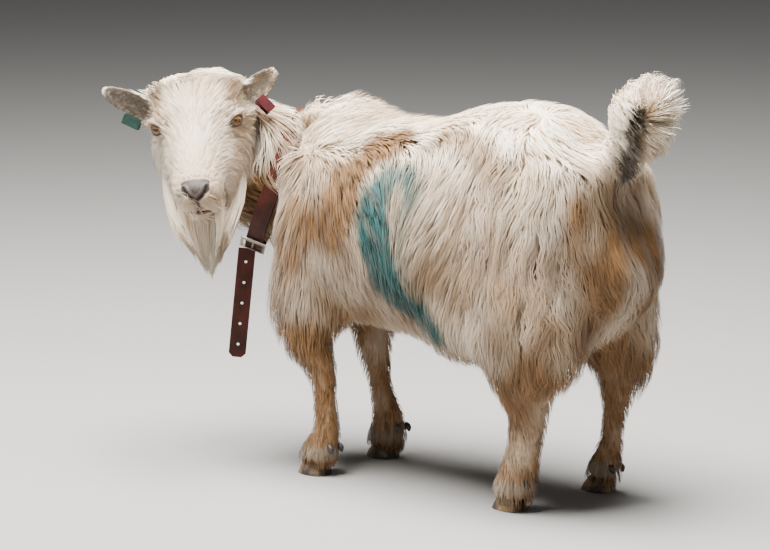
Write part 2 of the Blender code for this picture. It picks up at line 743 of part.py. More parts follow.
clear_scene()
goat = new_collection("goat")
cutters = new_collection("cutters")
materials = {name: new_material(name) for name in COLOURS}

# Hard parts first: each also cuts its seat in the flesh.
eyes, ears, tags = {}, {}, {}
for label, side in (("left", 1), ("right", -1)):
    eyes[label] = in_head(ball_mesh("eye", (side * EYE_SIDE, 0.0, 0.0), (EYE_RADIUS,) * 3, rings=6))
for label in ("left", "right"):
    ears[label] = in_head(ear_mesh(label))
    tags[label] = in_head(tag_mesh(label))
strap = band_mesh("strap", -0.003, STRAP_THICKNESS - 0.003, STRAP_WIDTH / 2)
strap_seat = band_mesh("strap_seat", -0.003 - GAP, 0.030, STRAP_WIDTH / 2 + GAP)
claws = {}
for leg, (stations, sole) in LEGS.items():
    for label, side in (("left", 1), ("right", -1)):
        claws[f"hoof_{leg}_{label}_claw"] = claw_mesh("claw", sole, side)


dewclaws = {}
for leg, (stations, sole) in LEGS.items():
    height, behind = DEWCLAWS[leg]
    for label, side in (("left", 1), ("right", -1)):
        centre = (sole.x + side * DEWCLAW_SIDE, sole.y + behind, height)
        turn = Matrix.Rotation(DEWCLAW_LEAN, 4, "X")
        dewclaws[f"dewclaw_{leg}_{label}"] = ball_mesh("dewclaw", centre, DEWCLAW_RADII, turn, rings=3)

body = fused("body", flesh_forms(), BODY_TRIANGLES, smoothing=60, smooth_above=(0.15, 0.27))
head = in_head(fused("head", skull_forms(), HEAD_TRIANGLES, voxel=0.003, smoothing=16))
beard = tube_mesh("beard", BEARD, steps=1, sides=10, up=(0.74, 0.67, 0))

# Flesh: the head seats in the neck, the collar in its groove, then the thin cuts.
head_skin = swollen(head, head_matrix() @ HEAD_MIDDLE, HEAD_SWELL)
body = trimmed(body, head_skin)
body = trimmed(body, strap_seat)
for leg, (stations, sole) in LEGS.items():
    centre, half, tilt = LEG_CELLS[leg]
    place = Matrix.Translation(centre) @ Matrix.Rotation(math.radians(tilt), 4, "Y")
    limb, body = box_parted(body, place, half)
    limb = trimmed(limb, coronet_mesh(sole))
    for label in ("left", "right"):
        limb = trimmed(limb, grown(dewclaws[f"dewclaw_{leg}_{label}"], GAP))
    upper, limb = plane_parted(limb, (sole.x, sole.y, LEG_LEVELS[leg][0]), (0, 0, 1))
    middle, lower = plane_parted(limb, (sole.x, sole.y, LEG_LEVELS[leg][1]), (0, 0, 1))
    top, joint = ("shoulder", "knee") if leg.startswith("fore") else ("thigh", "hock")
    side = leg.split("_")[1]
    for label, mesh in ((top, upper), (joint, middle), (leg.split("_")[0] + "_cannon", lower)):
        add_object(f"{label}_{side}", largest(mesh), "coat_cream")
neck, body = plane_parted(body, (0.000, -0.250, 0.410), (0.18, -0.89, 0.41))
tail, body = plane_parted(body, (0.000, 0.292, 0.496), (0.0, 0.62, 0.78))
hindquarters, body = plane_parted(body, (0.000, 0.095, 0.350), (0.0, 1.0, 0.0))
barrel, forequarters = plane_parted(body, (0.000, -0.100, 0.360), (0.0, 1.0, 0.0))

# Head: ears and beard end at its surface, the eyes sit in it, the face is parted at the mouth.
beard = trimmed(beard, grown(head, 2 * GAP))
for label in ("left", "right"):
    ears[label] = trimmed(ears[label], head_skin)
    neck = trimmed(neck, grown(hull_mesh(ears[label]), GAP))
    ears[label] = trimmed(ears[label], grown(tags[label], GAP))
    head = trimmed(head, grown(eyes[label], GAP))
place = head_matrix()
turn = place.to_3x3()
face, head = plane_parted(head, place @ Vector((0, -0.058, 0)), turn @ Vector((0, -1, 0.12)))
muzzle, jaw = plane_parted(face, place @ Vector((0, -0.130, -0.040)), turn @ Vector((0, 0.16, 1)))

for name, mesh in (
    ("neck", neck),
    ("tail", tail),
    ("hindquarters", hindquarters),
    ("barrel", barrel),
    ("forequarters", forequarters),
    ("head", head),
    ("muzzle", muzzle),
    ("lower_jaw", jaw),
    ("beard", beard),
):
    add_object(name, largest(mesh), "coat_cream")
for name, mesh in claws.items():
    add_object(name, mesh, "horn_tan")
for name, mesh in dewclaws.items():
    add_object(name, mesh, "horn_dark")
for label in ("left", "right"):
    add_object(f"eye_{label}", eyes[label], "eye_amber")
    add_object(f"ear_{label}", largest(ears[label]), "coat_cream")
add_object("ear_tag_left", tags["left"], "plastic_red")
add_object("ear_tag_right", tags["right"], "plastic_teal")
add_object("collar_strap", strap, "leather_brown")
add_object("collar_end", strap_end_mesh(), "leather_brown")
add_object("collar_buckle", buckle_mesh(), "steel_dark")
for obj in goat.objects:
    obj.location = ORIGIN_SHIFT
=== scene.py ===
"""Pygmy goat: skin, coat, eyes, hooves, collar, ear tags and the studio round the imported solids."""
import json
import math

import bmesh
import bpy
import numpy as np
from mathutils import Matrix, Vector, bvhtree, kdtree


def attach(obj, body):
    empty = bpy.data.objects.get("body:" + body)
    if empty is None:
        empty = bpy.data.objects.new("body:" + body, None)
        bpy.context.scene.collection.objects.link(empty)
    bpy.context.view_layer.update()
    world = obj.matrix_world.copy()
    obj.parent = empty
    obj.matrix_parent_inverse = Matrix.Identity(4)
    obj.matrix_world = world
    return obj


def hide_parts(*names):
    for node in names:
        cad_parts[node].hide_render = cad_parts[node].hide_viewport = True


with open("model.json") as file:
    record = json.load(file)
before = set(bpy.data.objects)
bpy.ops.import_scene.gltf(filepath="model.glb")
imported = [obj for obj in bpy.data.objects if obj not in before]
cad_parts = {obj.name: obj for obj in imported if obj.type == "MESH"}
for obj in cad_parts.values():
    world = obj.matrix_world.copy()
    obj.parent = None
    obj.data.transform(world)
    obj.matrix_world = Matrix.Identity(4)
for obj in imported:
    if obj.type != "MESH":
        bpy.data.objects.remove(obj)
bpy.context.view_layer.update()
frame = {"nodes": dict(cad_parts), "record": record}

RNG = np.random.default_rng(7)

# Metres, in the trunk's own axes: its midline is x = 0, the face looks to -Y and +X is the goat's left.
# ORIGIN brings them to the frame.
ORIGIN = np.array((-0.044, 0.055, 0.0))

# Head axes: -Y forward down the face, +X its left, +Z up; the origin is midway between the eyes.
HEAD_PLACE = (
    Matrix.Translation((0.147, -0.3475, 0.489))
    @ Matrix.Rotation(math.radians(128.5), 4, "Z")
    @ Matrix.Rotation(math.radians(-7), 4, "Y")
    @ Matrix.Rotation(math.radians(34), 4, "X")
)
HEAD_TURN = np.array(HEAD_PLACE.to_3x3())
HEAD_AT = np.array(HEAD_PLACE.translation)

# Head sections from the back of the skull to the lips: y, half width, top, bottom.
HEAD_SECTIONS = [
    (0.088, 0.016, 0.004, -0.030),
    (0.076, 0.036, 0.024, -0.058),
    (0.050, 0.047, 0.037, -0.080),
    (0.022, 0.053, 0.039, -0.084),
    (0.000, 0.051, 0.034, -0.080),
    (-0.030, 0.043, 0.024, -0.070),
    (-0.060, 0.035, 0.016, -0.062),
    (-0.090, 0.031, 0.011, -0.058),
    (-0.112, 0.032, 0.008, -0.056),
    (-0.128, 0.029, 0.003, -0.050),
    (-0.138, 0.020, -0.005, -0.040),
]
BODY_VOXEL, SKIN_VOXEL, COVER_VOXEL = 0.0045, 0.0020, 0.0035
SKIN_FACES = 70000
ROOT_SINK = 0.0012

# Eyes and ears, in head axes; the eye is the left one.
EYE_PLACE = np.array((0.0510, 0.0035, 0.0010))
EYE_RADIUS = 0.0138
GAZE = np.array((0.64, -0.70, 0.32))
EYE_CORNER = np.array((-0.76, -0.64, 0.06))
EAR_HALF_WIDTH = 0.0215
# Root, tip and the way the cup opens, for the left and the right ear.
EARS = {
    1: ((0.060, 0.046, -0.008), (0.112, 0.100, 0.000), (0.2, -0.9, 0.4)),
    -1: ((-0.060, 0.044, -0.010), (-0.134, 0.080, 0.017), (-0.2, -0.9, 0.2)),
}

# The face's lines, for its left half.
NOSTRIL = [(0.0050, -0.1400, -0.0130), (0.0125, -0.1385, -0.0080), (0.0180, -0.1320, 0.0005)]
MOUTH = [
    (0.000, -0.1380, -0.0395), (0.013, -0.1330, -0.0425), (0.026, -0.1170, -0.0400),
    (0.036, -0.0950, -0.0310),
]
CLEFT = [(0, -0.1410, -0.0150), (0, -0.1390, -0.0390)]
# Distances from the lines of the mouth count less along the face.
FLATTER = np.array((1.0, 0.4, 1.0))

WHORL = np.array((0.022, 0.195, 0.547))
FAN = np.array((0.088, -0.205, 0.464))
TAIL_ROOT, TAIL_TIP = np.array((0, 0.318, 0.520)), np.array((0, 0.372, 0.566))
BEARD_TIP = np.array((0.149, -0.317, 0.270))

# The sprayed mark, with its half width in millimetres and its strength along it.
TEAL = [
    (0.144, 0.053, 0.426), (0.138, 0.051, 0.443), (0.133, 0.026, 0.453), (0.134, -0.002, 0.445),
    (0.143, -0.016, 0.421), (0.151, -0.016, 0.394), (0.155, -0.005, 0.356), (0.151, 0.006, 0.316),
    (0.144, 0.024, 0.292), (0.138, 0.042, 0.275), (0.137, 0.079, 0.259), (0.133, 0.082, 0.241),
]
TEAL_WIDTHS = (0, 0.15, 0.3, 0.45, 0.6, 0.75, 0.85, 0.93, 1), (15, 17, 25, 31, 30, 24, 18, 16, 18)
TEAL_STRENGTH = (0, 0.2, 0.35, 0.6), (0.75, 0.85, 1.0, 1.0)
TEAL_THIN = [
    (0.140, 0.045, 0.425), (0.147, 0.040, 0.390), (0.150, 0.038, 0.350), (0.148, 0.045, 0.315),
    (0.142, 0.062, 0.285),
]
# Tan patches of the left side: the middle line, half width, fade beyond it and strength.
TAN_BAND = [(0.088, -0.027, 0.490), (0.095, -0.054, 0.480), (0.129, -0.081, 0.436), (0.144, -0.089, 0.372)]
TAN_PATHS = [
    (TAN_BAND, 0.027, 0.020, 1.3),
    ([(0.144, -0.089, 0.372), (0.139, -0.066, 0.302)], 0.012, 0.026, 0.75),
    ([(0.135, -0.135, 0.420), (0.132, -0.160, 0.340), (0.118, -0.140, 0.250)], 0.012, 0.035, 0.30),
    ([(0.102, 0.071, 0.500), (0.107, 0.129, 0.495), (0.120, 0.179, 0.460)], 0.014, 0.028, 0.75),
    ([(0.150, 0.078, 0.390), (0.151, 0.096, 0.358), (0.146, 0.106, 0.318)], 0.008, 0.026, 0.6),
    ([(0.141, 0.193, 0.367), (0.130, 0.249, 0.356), (0.103, 0.290, 0.340)], 0.012, 0.050, 0.72),
    ([(0.150, 0.205, 0.310), (0.138, 0.257, 0.307)], 0.016, 0.055, 0.80),
    ([(0.063, 0.299, 0.443), (0.068, 0.313, 0.385)], 0.010, 0.020, 0.55),
    ([(0.123, -0.150, 0.300), (0.115, -0.140, 0.250)], 0.008, 0.025, 0.35),
    ([(0.057, -0.306, 0.463), (0.055, -0.283, 0.451), (0.081, -0.238, 0.436)], 0.030, 0.045, 0.8),
    ([(0.064, -0.325, 0.354), (0.080, -0.340, 0.420)], 0.030, 0.045, 1.2),
]
UNDER_TAIL = [
    (0.030, 0.352, 0.548), (0.032, 0.348, 0.529), (0.027, 0.340, 0.505), (0.016, 0.328, 0.482),
    (0.002, 0.316, 0.460),
]

STRAP_SIDES = 144
BUD_RADII = (0.0040, 0.0056, 0.0068)
COLLAR_CENTRE = np.array((0.008, -0.318, 0.400))
COLLAR_TURN, COLLAR_RISE = math.radians(34), math.radians(21)
COLLAR_SIDE, COLLAR_HEIGHT = 0.060, 0.108
COLLAR_AXIS = np.array((
    math.sin(COLLAR_TURN) * math.cos(COLLAR_RISE),
    -math.cos(COLLAR_TURN) * math.cos(COLLAR_RISE),
    math.sin(COLLAR_RISE),
))

SHOULDER_FRONT = -0.245
# Each part of the trunk: from y to y, tufts, rings, tufts in a lock, wave, curl and how far a lock gathers.
TRUNK = {
    "shoulder": (SHOULDER_FRONT, -0.03, 7000, 3, 16, 0.0, 0.0072, 0.6),
    "flank": (-0.03, 0.15, 5600, 4, 16, 0.0007, 0.0072, 0.6),
    "thigh": (0.15, 0.45, 5600, 5, 36, 0.0044, 0.0100, 0.8),
}
# A sparse layer of broad tufts beneath the others, so that no skin shows between them.
UNDER = {"low": 0.45, "spread": 0.25, "stout": 2.6, "reach": 0.8}
# Hair grows where less than this share of the skin is bare.
MOST_BARE = 0.35
DEEPEST_COAT, EAR_COAT = 0.034, 0.0022

FLOOR_HALF = 25
CAMERA_TARGET = Vector((-0.04905, -0.07031, 0.28))
CAMERA_TURN, CAMERA_RISE, CAMERA_AWAY = math.radians(132), math.radians(9.5), 5.0
CAMERA_LENS, CAMERA_SENSOR = 164.805, 36
SIDES = {"left": 1, "right": -1}

SLOTS = {entry["node"]: entry["material_slot"] for entry in frame["record"]["subparts"]}
FLESH = sorted(node for node, slot in SLOTS.items() if slot == "coat")
HEAD_NODES = ("head", "muzzle", "lower_jaw", "beard", "ear_left", "ear_right")


def ramp(x, low, high):
    """0 below low, 1 above high and smooth between them; low may be the larger."""
    t = np.clip((x - low) / (high - low), 0, 1)
    return t * t * (3 - 2 * t)


def unit(v):
    return v / np.maximum(np.linalg.norm(v, axis=-1, keepdims=True), 1e-9)


def strongest(*masks):
    """The greatest of the masks at each place."""
    return np.max(np.broadcast_arrays(*masks), axis=0)


def mirrored(path, side):
    return np.array(path) * (side, 1, 1)


def folded(p):
    """The places, with those of the right side laid on the left."""
    return np.where((True, False, False), np.abs(p), p)


def to_head(p):
    return (p - HEAD_AT) @ HEAD_TURN


def from_head(p):
    return p @ HEAD_TURN.T + HEAD_AT


# Meshes as numpy arrays


def points_of(mesh):
    points = np.empty(len(mesh.vertices) * 3, np.float32)
    mesh.vertices.foreach_get("co", points)
    return points.reshape(-1, 3).astype(float)


def triangles_of(mesh):
    mesh.calc_loop_triangles()
    faces = np.empty(len(mesh.loop_triangles) * 3, np.int32)
    mesh.loop_triangles.foreach_get("vertices", faces)
    return faces.reshape(-1, 3)


def normals_of(points, faces):
    corner = points[faces]
    across = np.cross(corner[:, 1] - corner[:, 0], corner[:, 2] - corner[:, 0])
    total = np.zeros_like(points)
    for k in range(3):
        np.add.at(total, faces[:, k], across)
    return unit(total)


def mesh_of(name, points, faces):
    mesh = bpy.data.meshes.new(name)
    mesh.from_pydata([tuple(p) for p in points], [], [tuple(f) for f in faces])
    return mesh


def outward(mesh):
    shape = bmesh.new()
    shape.from_mesh(mesh)
    bmesh.ops.recalc_face_normals(shape, faces=shape.faces)
    shape.to_mesh(mesh)
    shape.free()
    return mesh


def rounded(name, points, faces):
    """A closed form that faces outward and is shaded smooth."""
    mesh = outward(mesh_of(name, points, faces))
    mesh.shade_smooth()
    return mesh


def piece(name, mesh, material, replaced=()):
    """The mesh as a shown piece of the goat, moved from the trunk's axes to the frame."""
    mesh.transform(Matrix.Translation(ORIGIN))
    mesh.materials.clear()
    mesh.materials.append(material)
    obj = bpy.data.objects.new(name, mesh)
    bpy.context.scene.collection.objects.link(obj)
    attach(obj, "root")
    if replaced:
        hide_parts(*replaced)


def modified(mesh, kind, chosen=(), **settings):
    """The mesh with one modifier applied, to the chosen vertices only where some are given."""
    obj = bpy.data.objects.new("work", mesh)
    bpy.context.scene.collection.objects.link(obj)
    modifier = obj.modifiers.new("work", kind)
    if len(chosen):
        obj.vertex_groups.new(name="chosen").add(chosen, 1.0, "REPLACE")
        modifier.vertex_group = "chosen"
    for key, value in settings.items():
        setattr(modifier, key, value)
    graph = bpy.context.evaluated_depsgraph_get()
    graph.update()
    result = bpy.data.meshes.new_from_object(obj.evaluated_get(graph))
    bpy.data.objects.remove(obj, do_unlink=True)
    return result


def melted(meshes, voxel):
    """The closed meshes fused into one skin of even quads."""
    shape = bmesh.new()
    for mesh in meshes:
        shape.from_mesh(mesh)
    whole = bpy.data.meshes.new("whole")
    shape.to_mesh(whole)
    shape.free()
    return modified(whole, "REMESH", mode="VOXEL", voxel_size=voxel)


def nearest_of(points):
    """A function that finds, for each place, the nearest of the points."""
    tree = kdtree.KDTree(len(points))
    for k, point in enumerate(points.tolist()):
        tree.insert(point, k)
    tree.balance()
    return lambda p: np.array([tree.find(place)[1] for place in p.tolist()])


def edges_of(faces):
    pairs = np.concatenate([faces[:, [0, 1]], faces[:, [1, 2]], faces[:, [2, 0]]])
    return np.unique(np.sort(pairs, axis=1), axis=0)


def relaxed(values, edges, rounds, share=0.5):
    """The values at the vertices, each drawn towards the mean of its neighbours."""
    count = np.bincount(edges.ravel(), minlength=len(values))
    count = np.maximum(count, 1).reshape(-1, *[1] * (values.ndim - 1))
    for _ in range(rounds):
        total = np.zeros_like(values)
        np.add.at(total, edges[:, 0], values[edges[:, 1]])
        np.add.at(total, edges[:, 1], values[edges[:, 0]])
        values = values + share * (total / count - values)
    return values


def tube(stations, sides=32, steps=4, power=2.0):
    """A closed loft along Y. Each station has y, half width, top and bottom."""
    rows = np.array(stations, float)
    fine = np.linspace(0, len(rows) - 1, (len(rows) - 1) * steps + 1)
    rows = np.stack([np.interp(fine, range(len(rows)), column) for column in rows.T], 1)
    for _ in range(steps):
        rows[1:-1] = (rows[:-2] + 2 * rows[1:-1] + rows[2:]) / 4
    turn = np.arange(sides) * 2 * math.pi / sides
    across = np.sign(np.cos(turn)) * np.abs(np.cos(turn)) ** (2 / power)
    rise = np.sign(np.sin(turn)) * np.abs(np.sin(turn)) ** (2 / power)
    y, half, top, bottom = rows.T[:, :, None]
    x = half * across
    z = (top + bottom) / 2 + (top - bottom) / 2 * rise
    points = np.stack([x, y + 0 * x, z], -1).reshape(-1, 3)
    ring = np.arange(sides)
    after = (ring + 1) % sides
    faces = []
    for k in range(len(rows) - 1):
        low, high = k * sides, (k + 1) * sides
        faces += np.stack([low + ring, low + after, high + after, high + ring], 1).tolist()
    faces += [list(range(sides)), list(range((len(rows) - 1) * sides, len(rows) * sides))]
    return points, faces


def ball(centre, radii):
    shape = bmesh.new()
    bmesh.ops.create_icosphere(shape, subdivisions=4, radius=1.0)
    points = np.array([v.co for v in shape.verts]) * radii + centre
    faces = [[v.index for v in face.verts] for face in shape.faces]
    shape.free()
    return points, faces


# Skin: the solids drawn in by the coat's depth, with a modelled head.


def coat_depth(p, n):
    """How far the skin lies under the tips of the coat, in metres."""
    x, y, z = p.T
    depth = 0.018 + 0.004 * ramp(-n[:, 2], 0.3, 0.9) - 0.004 * ramp(z, 0.47, 0.52)
    withers = ramp(z, 0.46, 0.51) * ramp(y, -0.27, -0.22) * ramp(y, -0.08, -0.14)
    depth = depth + 0.016 * withers
    chest = ramp(y, -0.20, -0.26) * ramp(z, 0.34, 0.27)
    depth = depth + 0.010 * chest
    thigh = ramp(y, 0.12, 0.17) * ramp(np.abs(x), 0.05, 0.09) * ramp(z, 0.42, 0.34)
    depth = depth + 0.008 * thigh
    tail = ramp(y * 0.62 + z * 0.78, 0.568, 0.59) * ramp(y, 0.24, 0.27)
    depth = depth * (1 - tail) + 0.027 * tail
    front = ramp(y, 0.05, 0.0)
    leg = ramp(z, 0.21 + 0.02 * front, 0.16)
    return depth * (1 - leg) + 0.0045 * leg


def body_mesh():
    """Trunk, neck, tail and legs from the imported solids, at the skin."""
    parts = []
    for node in FLESH:
        if node in HEAD_NODES:
            continue
        mesh = frame["nodes"][node].data.copy()
        shape = bmesh.new()
        shape.from_mesh(mesh)
        bmesh.ops.remove_doubles(shape, verts=shape.verts, dist=0.00002)
        shape.normal_update()
        moved = [(v, v.co + v.normal * 0.0009 - Vector(ORIGIN)) for v in shape.verts]
        for vertex, place in moved:
            vertex.co = place
        shape.to_mesh(mesh)
        shape.free()
        parts.append(mesh)
    mesh = melted(parts, BODY_VOXEL)
    points, faces = points_of(mesh), triangles_of(mesh)
    edges = edges_of(faces)
    points = relaxed(points, edges, 10)
    normals = relaxed(normals_of(points, faces), edges, 8)
    tree = bvhtree.BVHTree.FromPolygons(points.tolist(), faces.tolist())
    thick = np.full(len(points), 0.3)
    for k, (place, normal) in enumerate(zip(points, unit(normals))):
        found = tree.ray_cast(Vector(place - normal * 0.002), Vector(-normal), 0.3)
        if found[0]:
            thick[k] = found[3]
    thick = relaxed(np.minimum(thick, 0.12), edges, 6)
    inset = relaxed(np.minimum(coat_depth(points, unit(normals)), 0.36 * thick), edges, 8)
    points = relaxed(points - unit(normals) * inset[:, None], edges, 3)
    return mesh_of("body", points, [p.vertices[:] for p in mesh.polygons])


def head_forms():
    forms = [tube(HEAD_SECTIONS, power=2.25)]
    for side in (1, -1):
        forms.append(ball((side * 0.040, 0.030, -0.046), (0.020, 0.046, 0.040)))
        forms.append(ball((side * 0.028, 0.058, 0.014), (0.026, 0.026, 0.024)))
        forms.append(ball((side * 0.0455, 0.001, 0.001), (0.016, 0.020, 0.018)))
    forms.append(ball((0, -0.112, -0.046), (0.024, 0.026, 0.019)))
    forms.append(ball((0, -0.124, -0.012), (0.0245, 0.018, 0.016)))
    meshes = []
    for points, faces in forms:
        meshes.append(outward(mesh_of("form", from_head(points), faces)))
    for side in EARS:
        points, faces = ear_form(side)
        meshes.append(outward(mesh_of("ear", from_head(points), faces)))
    return meshes


def ear_axes(side):
    root, tip, opening = (np.array(v) for v in EARS[side])
    along = unit(tip - root)
    front = unit(opening - along * along.dot(opening))
    return root, tip, along, front, np.cross(along, front)


def ear_form(side):
    """A cupped leaf, thick at the root and thinner at the rim."""
    root, tip, along, front, across = ear_axes(side)
    root = root - along * 0.014
    steps, arc = 26, np.radians(np.linspace(-90, 90, 19))
    points = []
    for step in range(steps + 1):
        t = step / steps
        width = ear_width(t)
        cup = 0.72 * width * (1 - 0.5 * t)
        middle = root + (tip - root) * t - front * (0.006 * math.sin(math.pi * t))
        for half, turns in ((0.0021, arc), (-0.0021 - 0.003 * (1 - t) ** 3, arc[::-1])):
            deep = cup * (1 - np.cos(turns)) - half * (0.35 + 0.65 * np.cos(turns))
            for turn, d in zip(turns, deep):
                points.append(middle + across * math.sin(turn) * width + front * d)
    count = 2 * len(arc)
    faces = []
    for low in range(0, steps * count, count):
        for k in range(count):
            after = (k + 1) % count
            faces.append((low + k, low + after, low + count + after, low + count + k))
    faces.append(tuple(range(count)))
    faces.append(tuple(range(steps * count, (steps + 1) * count)))
    return np.array(points), faces


def bump(q, centre, radii, power=2.0):
    """A soft bell round a centre, with a radius for each axis."""
    return np.exp(-((((q - centre) / radii) ** 2).sum(-1)) ** (power / 2))


def line_distance(q, path):
    """Distance from each point to a path, and how far along it the nearest place lies, 0 to 1."""
    best, where = np.full(len(q), 9.0), np.zeros(len(q))
    path = np.array(path, float)
    for k in range(len(path) - 1):
        a, b = path[k], path[k + 1]
        t = np.clip((q - a) @ (b - a) / ((b - a) @ (b - a)), 0, 1)
        d = np.linalg.norm(q - a - t[:, None] * (b - a), axis=1)
        near = d < best
        best[near], where[near] = d[near], (k + t[near]) / (len(path) - 1)
    return best, where


def off_line(q, path):
    return line_distance(q, path)[0]


def path_mask(p, path, width, fade):
    """1 within the width of a path, 0 beyond width and fade."""
    return ramp(off_line(p, path), width + fade, width)


def eye_frame(side):
    """Centre, gaze, forward corner and up of one eye, in head axes."""
    mirror = np.array((side, 1, 1))
    gaze = unit(GAZE * mirror)
    corner = EYE_CORNER * mirror
    corner = unit(corner - gaze * gaze.dot(corner))
    return EYE_PLACE * mirror, gaze, corner, np.cross(corner, gaze) * side


def sculpt(points, normals):
    """Brow, eye sockets, lids, nostrils, lips and chin, as moves of the head's skin."""
    q, n = to_head(points), normals @ HEAD_TURN
    for side in (1, -1):
        q = q + n * 0.0045 * bump(q, (side * 0.045, 0.012, 0.021), (0.016, 0.020, 0.008))[:, None]
        q = q - n * 0.0040 * bump(q, (side * 0.036, -0.040, -0.006), (0.014, 0.024, 0.014))[:, None]
        q = q - n * 0.0030 * bump(q, (side * 0.034, -0.075, -0.046), (0.012, 0.020, 0.010))[:, None]
        d = off_line(q, mirrored(NOSTRIL, side))
        q = q - n * (0.0062 * np.exp(-((d / 0.0024) ** 2)))[:, None]
        q = q + n * (0.0018 * np.exp(-(((d - 0.0052) / 0.0022) ** 2)))[:, None]
        d = off_line(q * FLATTER, mirrored(MOUTH, side) * FLATTER)
        q = q - n * (0.0042 * np.exp(-((d / 0.0019) ** 2)))[:, None]
        q = q + n * (0.0016 * np.exp(-(((d - 0.0048) / 0.0026) ** 2)))[:, None]
    d = off_line(q * FLATTER, CLEFT * FLATTER)
    q = q - n * (0.0024 * np.exp(-((d / 0.0013) ** 2)))[:, None]
    for side in (1, -1):
        q = lidded(q, side)
    return from_head(q)


def lidded(q, side):
    """Draws the skin over the eyeball and opens an almond in it."""
    centre, gaze, corner, up = eye_frame(side)
    r = q - centre
    reach = np.linalg.norm(r, axis=1)
    ahead = unit(r)
    a, b = ahead @ corner * EYE_RADIUS, ahead @ up * EYE_RADIUS
    facing = ahead @ gaze
    ring = np.hypot(a / 0.0102, b / 0.0058)
    ring = np.where((facing > 0) & (reach < 0.030), ring, 9.0)
    lid = EYE_RADIUS + 0.0011 + 0.0014 * np.exp(-(((ring - 1.30) / 0.18) ** 2)) * (0.6 + 1.1 * (b > 0))
    hold = ramp(ring, 2.3, 1.45)
    target = reach + (lid - reach) * hold
    target = np.where(ring < 1.16, EYE_RADIUS + 0.0011, target)
    open_eye = ramp(ring, 1.02, 0.90)
    target = target + (EYE_RADIUS * 0.78 - target) * open_eye
    return centre + ahead * target[:, None]


def skin_mesh():
    """One skin over the whole goat, finer on the head and finest round the eyes."""
    mesh = melted([body_mesh(), *head_forms()], SKIN_VOXEL)
    points = points_of(mesh)
    q = to_head(points)
    on_head = np.linalg.norm((q - (0, -0.03, -0.02)) / (1.4, 1.25, 1.0), axis=1) < 0.088
    edges = edges_of(triangles_of(mesh))
    soft = relaxed(points, edges, 3)
    mesh.vertices.foreach_set("co", soft.astype(np.float32).ravel())
    ratio = on_head.mean() + SKIN_FACES / (2 * len(mesh.polygons))
    mesh = modified(mesh, "DECIMATE", np.flatnonzero(~on_head).tolist(), ratio=ratio)
    shape = bmesh.new()
    shape.from_mesh(mesh)
    bmesh.ops.triangulate(shape, faces=shape.faces)
    finer = [((0, -0.06, -0.02), 0.088), ((0.052, -0.004, 0.003), 0.017), ((-0.052, -0.004, 0.003), 0.017)]
    for centre, radius in finer:
        middle = Vector(from_head(np.array(centre)))
        near = [e for e in shape.edges if (e.verts[0].co - middle).length < radius]
        bmesh.ops.subdivide_edges(shape, edges=near, cuts=1)
        bmesh.ops.triangulate(shape, faces=shape.faces)
    shape.to_mesh(mesh)
    shape.free()
    points, faces = points_of(mesh), triangles_of(mesh)
    edges = edges_of(faces)
    near = ramp(np.linalg.norm(to_head(points) - (0, -0.03, -0.01), axis=1), 0.16, 0.14)[:, None]
    points = points + (relaxed(points, edges, 2) - points) * near
    normals = relaxed(normals_of(points, faces), edges, 2)
    points = sculpt(points, unit(normals))
    mesh.vertices.foreach_set("co", points.astype(np.float32).ravel())
    mesh.shade_smooth()
    mesh.update()
    return mesh


def scatter(weight, count):
    """Places on the skin, denser where the weight is greater."""
    corner = ground.points[ground.faces]
    area = np.linalg.norm(np.cross(corner[:, 1] - corner[:, 0], corner[:, 2] - corner[:, 0]), axis=1)
    share = area * weight(corner.mean(1))
    chosen = RNG.choice(len(corner), count, p=share / share.sum())
    a, b = RNG.random((2, count, 1))
    a, b = np.where(a + b > 1, 1 - a, a), np.where(a + b > 1, 1 - b, b)
    corner = corner[chosen]
    return corner[:, 0] + a * (corner[:, 1] - corner[:, 0]) + b * (corner[:, 2] - corner[:, 0])


def ripple(p, size, seed):
    """Smooth noise from -1 to 1, of about the given size."""
    rng = np.random.default_rng(seed)
    total = np.zeros(p.shape[:-1])
    for _ in range(6):
        direction = unit(rng.normal(size=3)) * rng.uniform(0.6, 1.5) / size
        total = total + np.sin(p @ direction * math.pi + rng.uniform(0, 6.3))
    return total / 3.2


class Ground:
    """The skin as the coat's ground: nearest place, normal and the depth of the coat over it."""

    def __init__(self, mesh, cover):
        self.points, self.faces = points_of(mesh), triangles_of(mesh)
        edges = edges_of(self.faces)
        self.normals = unit(relaxed(normals_of(self.points, self.faces), edges, 3))
        self.nearest = nearest_of(self.points)
        depth = np.full(len(self.points), 0.004)
        rays = zip(self.points.tolist(), self.normals.tolist())
        for k, (point, normal) in enumerate(rays):
            hit = cover.ray_cast(point, normal, 0.25)
            if hit[0]:
                depth[k] = min(hit[3], DEEPEST_COAT)
        ear = on_ear(self.points)
        self.depth = relaxed(depth, edges, 12) * (1 - ear) + EAR_COAT * ear

    def at(self, p):
        found = self.nearest(p)
        return self.points[found], self.normals[found], self.depth[found]


def blend(flows):
    """Directions from pairs of weight and vector."""
    total = sum(weight[:, None] * np.broadcast_to(vector, (len(weight), 3)) for weight, vector in flows)
    return unit(total)


def vector(x, y, z):
    return np.stack(np.broadcast_arrays(x, y, z), -1).astype(float)


def on_head(p):
    """1 on the head, 0 on the neck."""
    q = to_head(p)
    return ramp(np.linalg.norm((q - (0, -0.03, -0.015)) / (1.45, 1.25, 1.0), axis=1), 0.094, 0.082)


def ear_width(t):
    """Half width of an ear a share t of the way from its root to its tip."""
    return EAR_HALF_WIDTH * np.sin(math.pi * (0.22 + 0.765 * np.clip(t, 0, 1))) ** 0.5


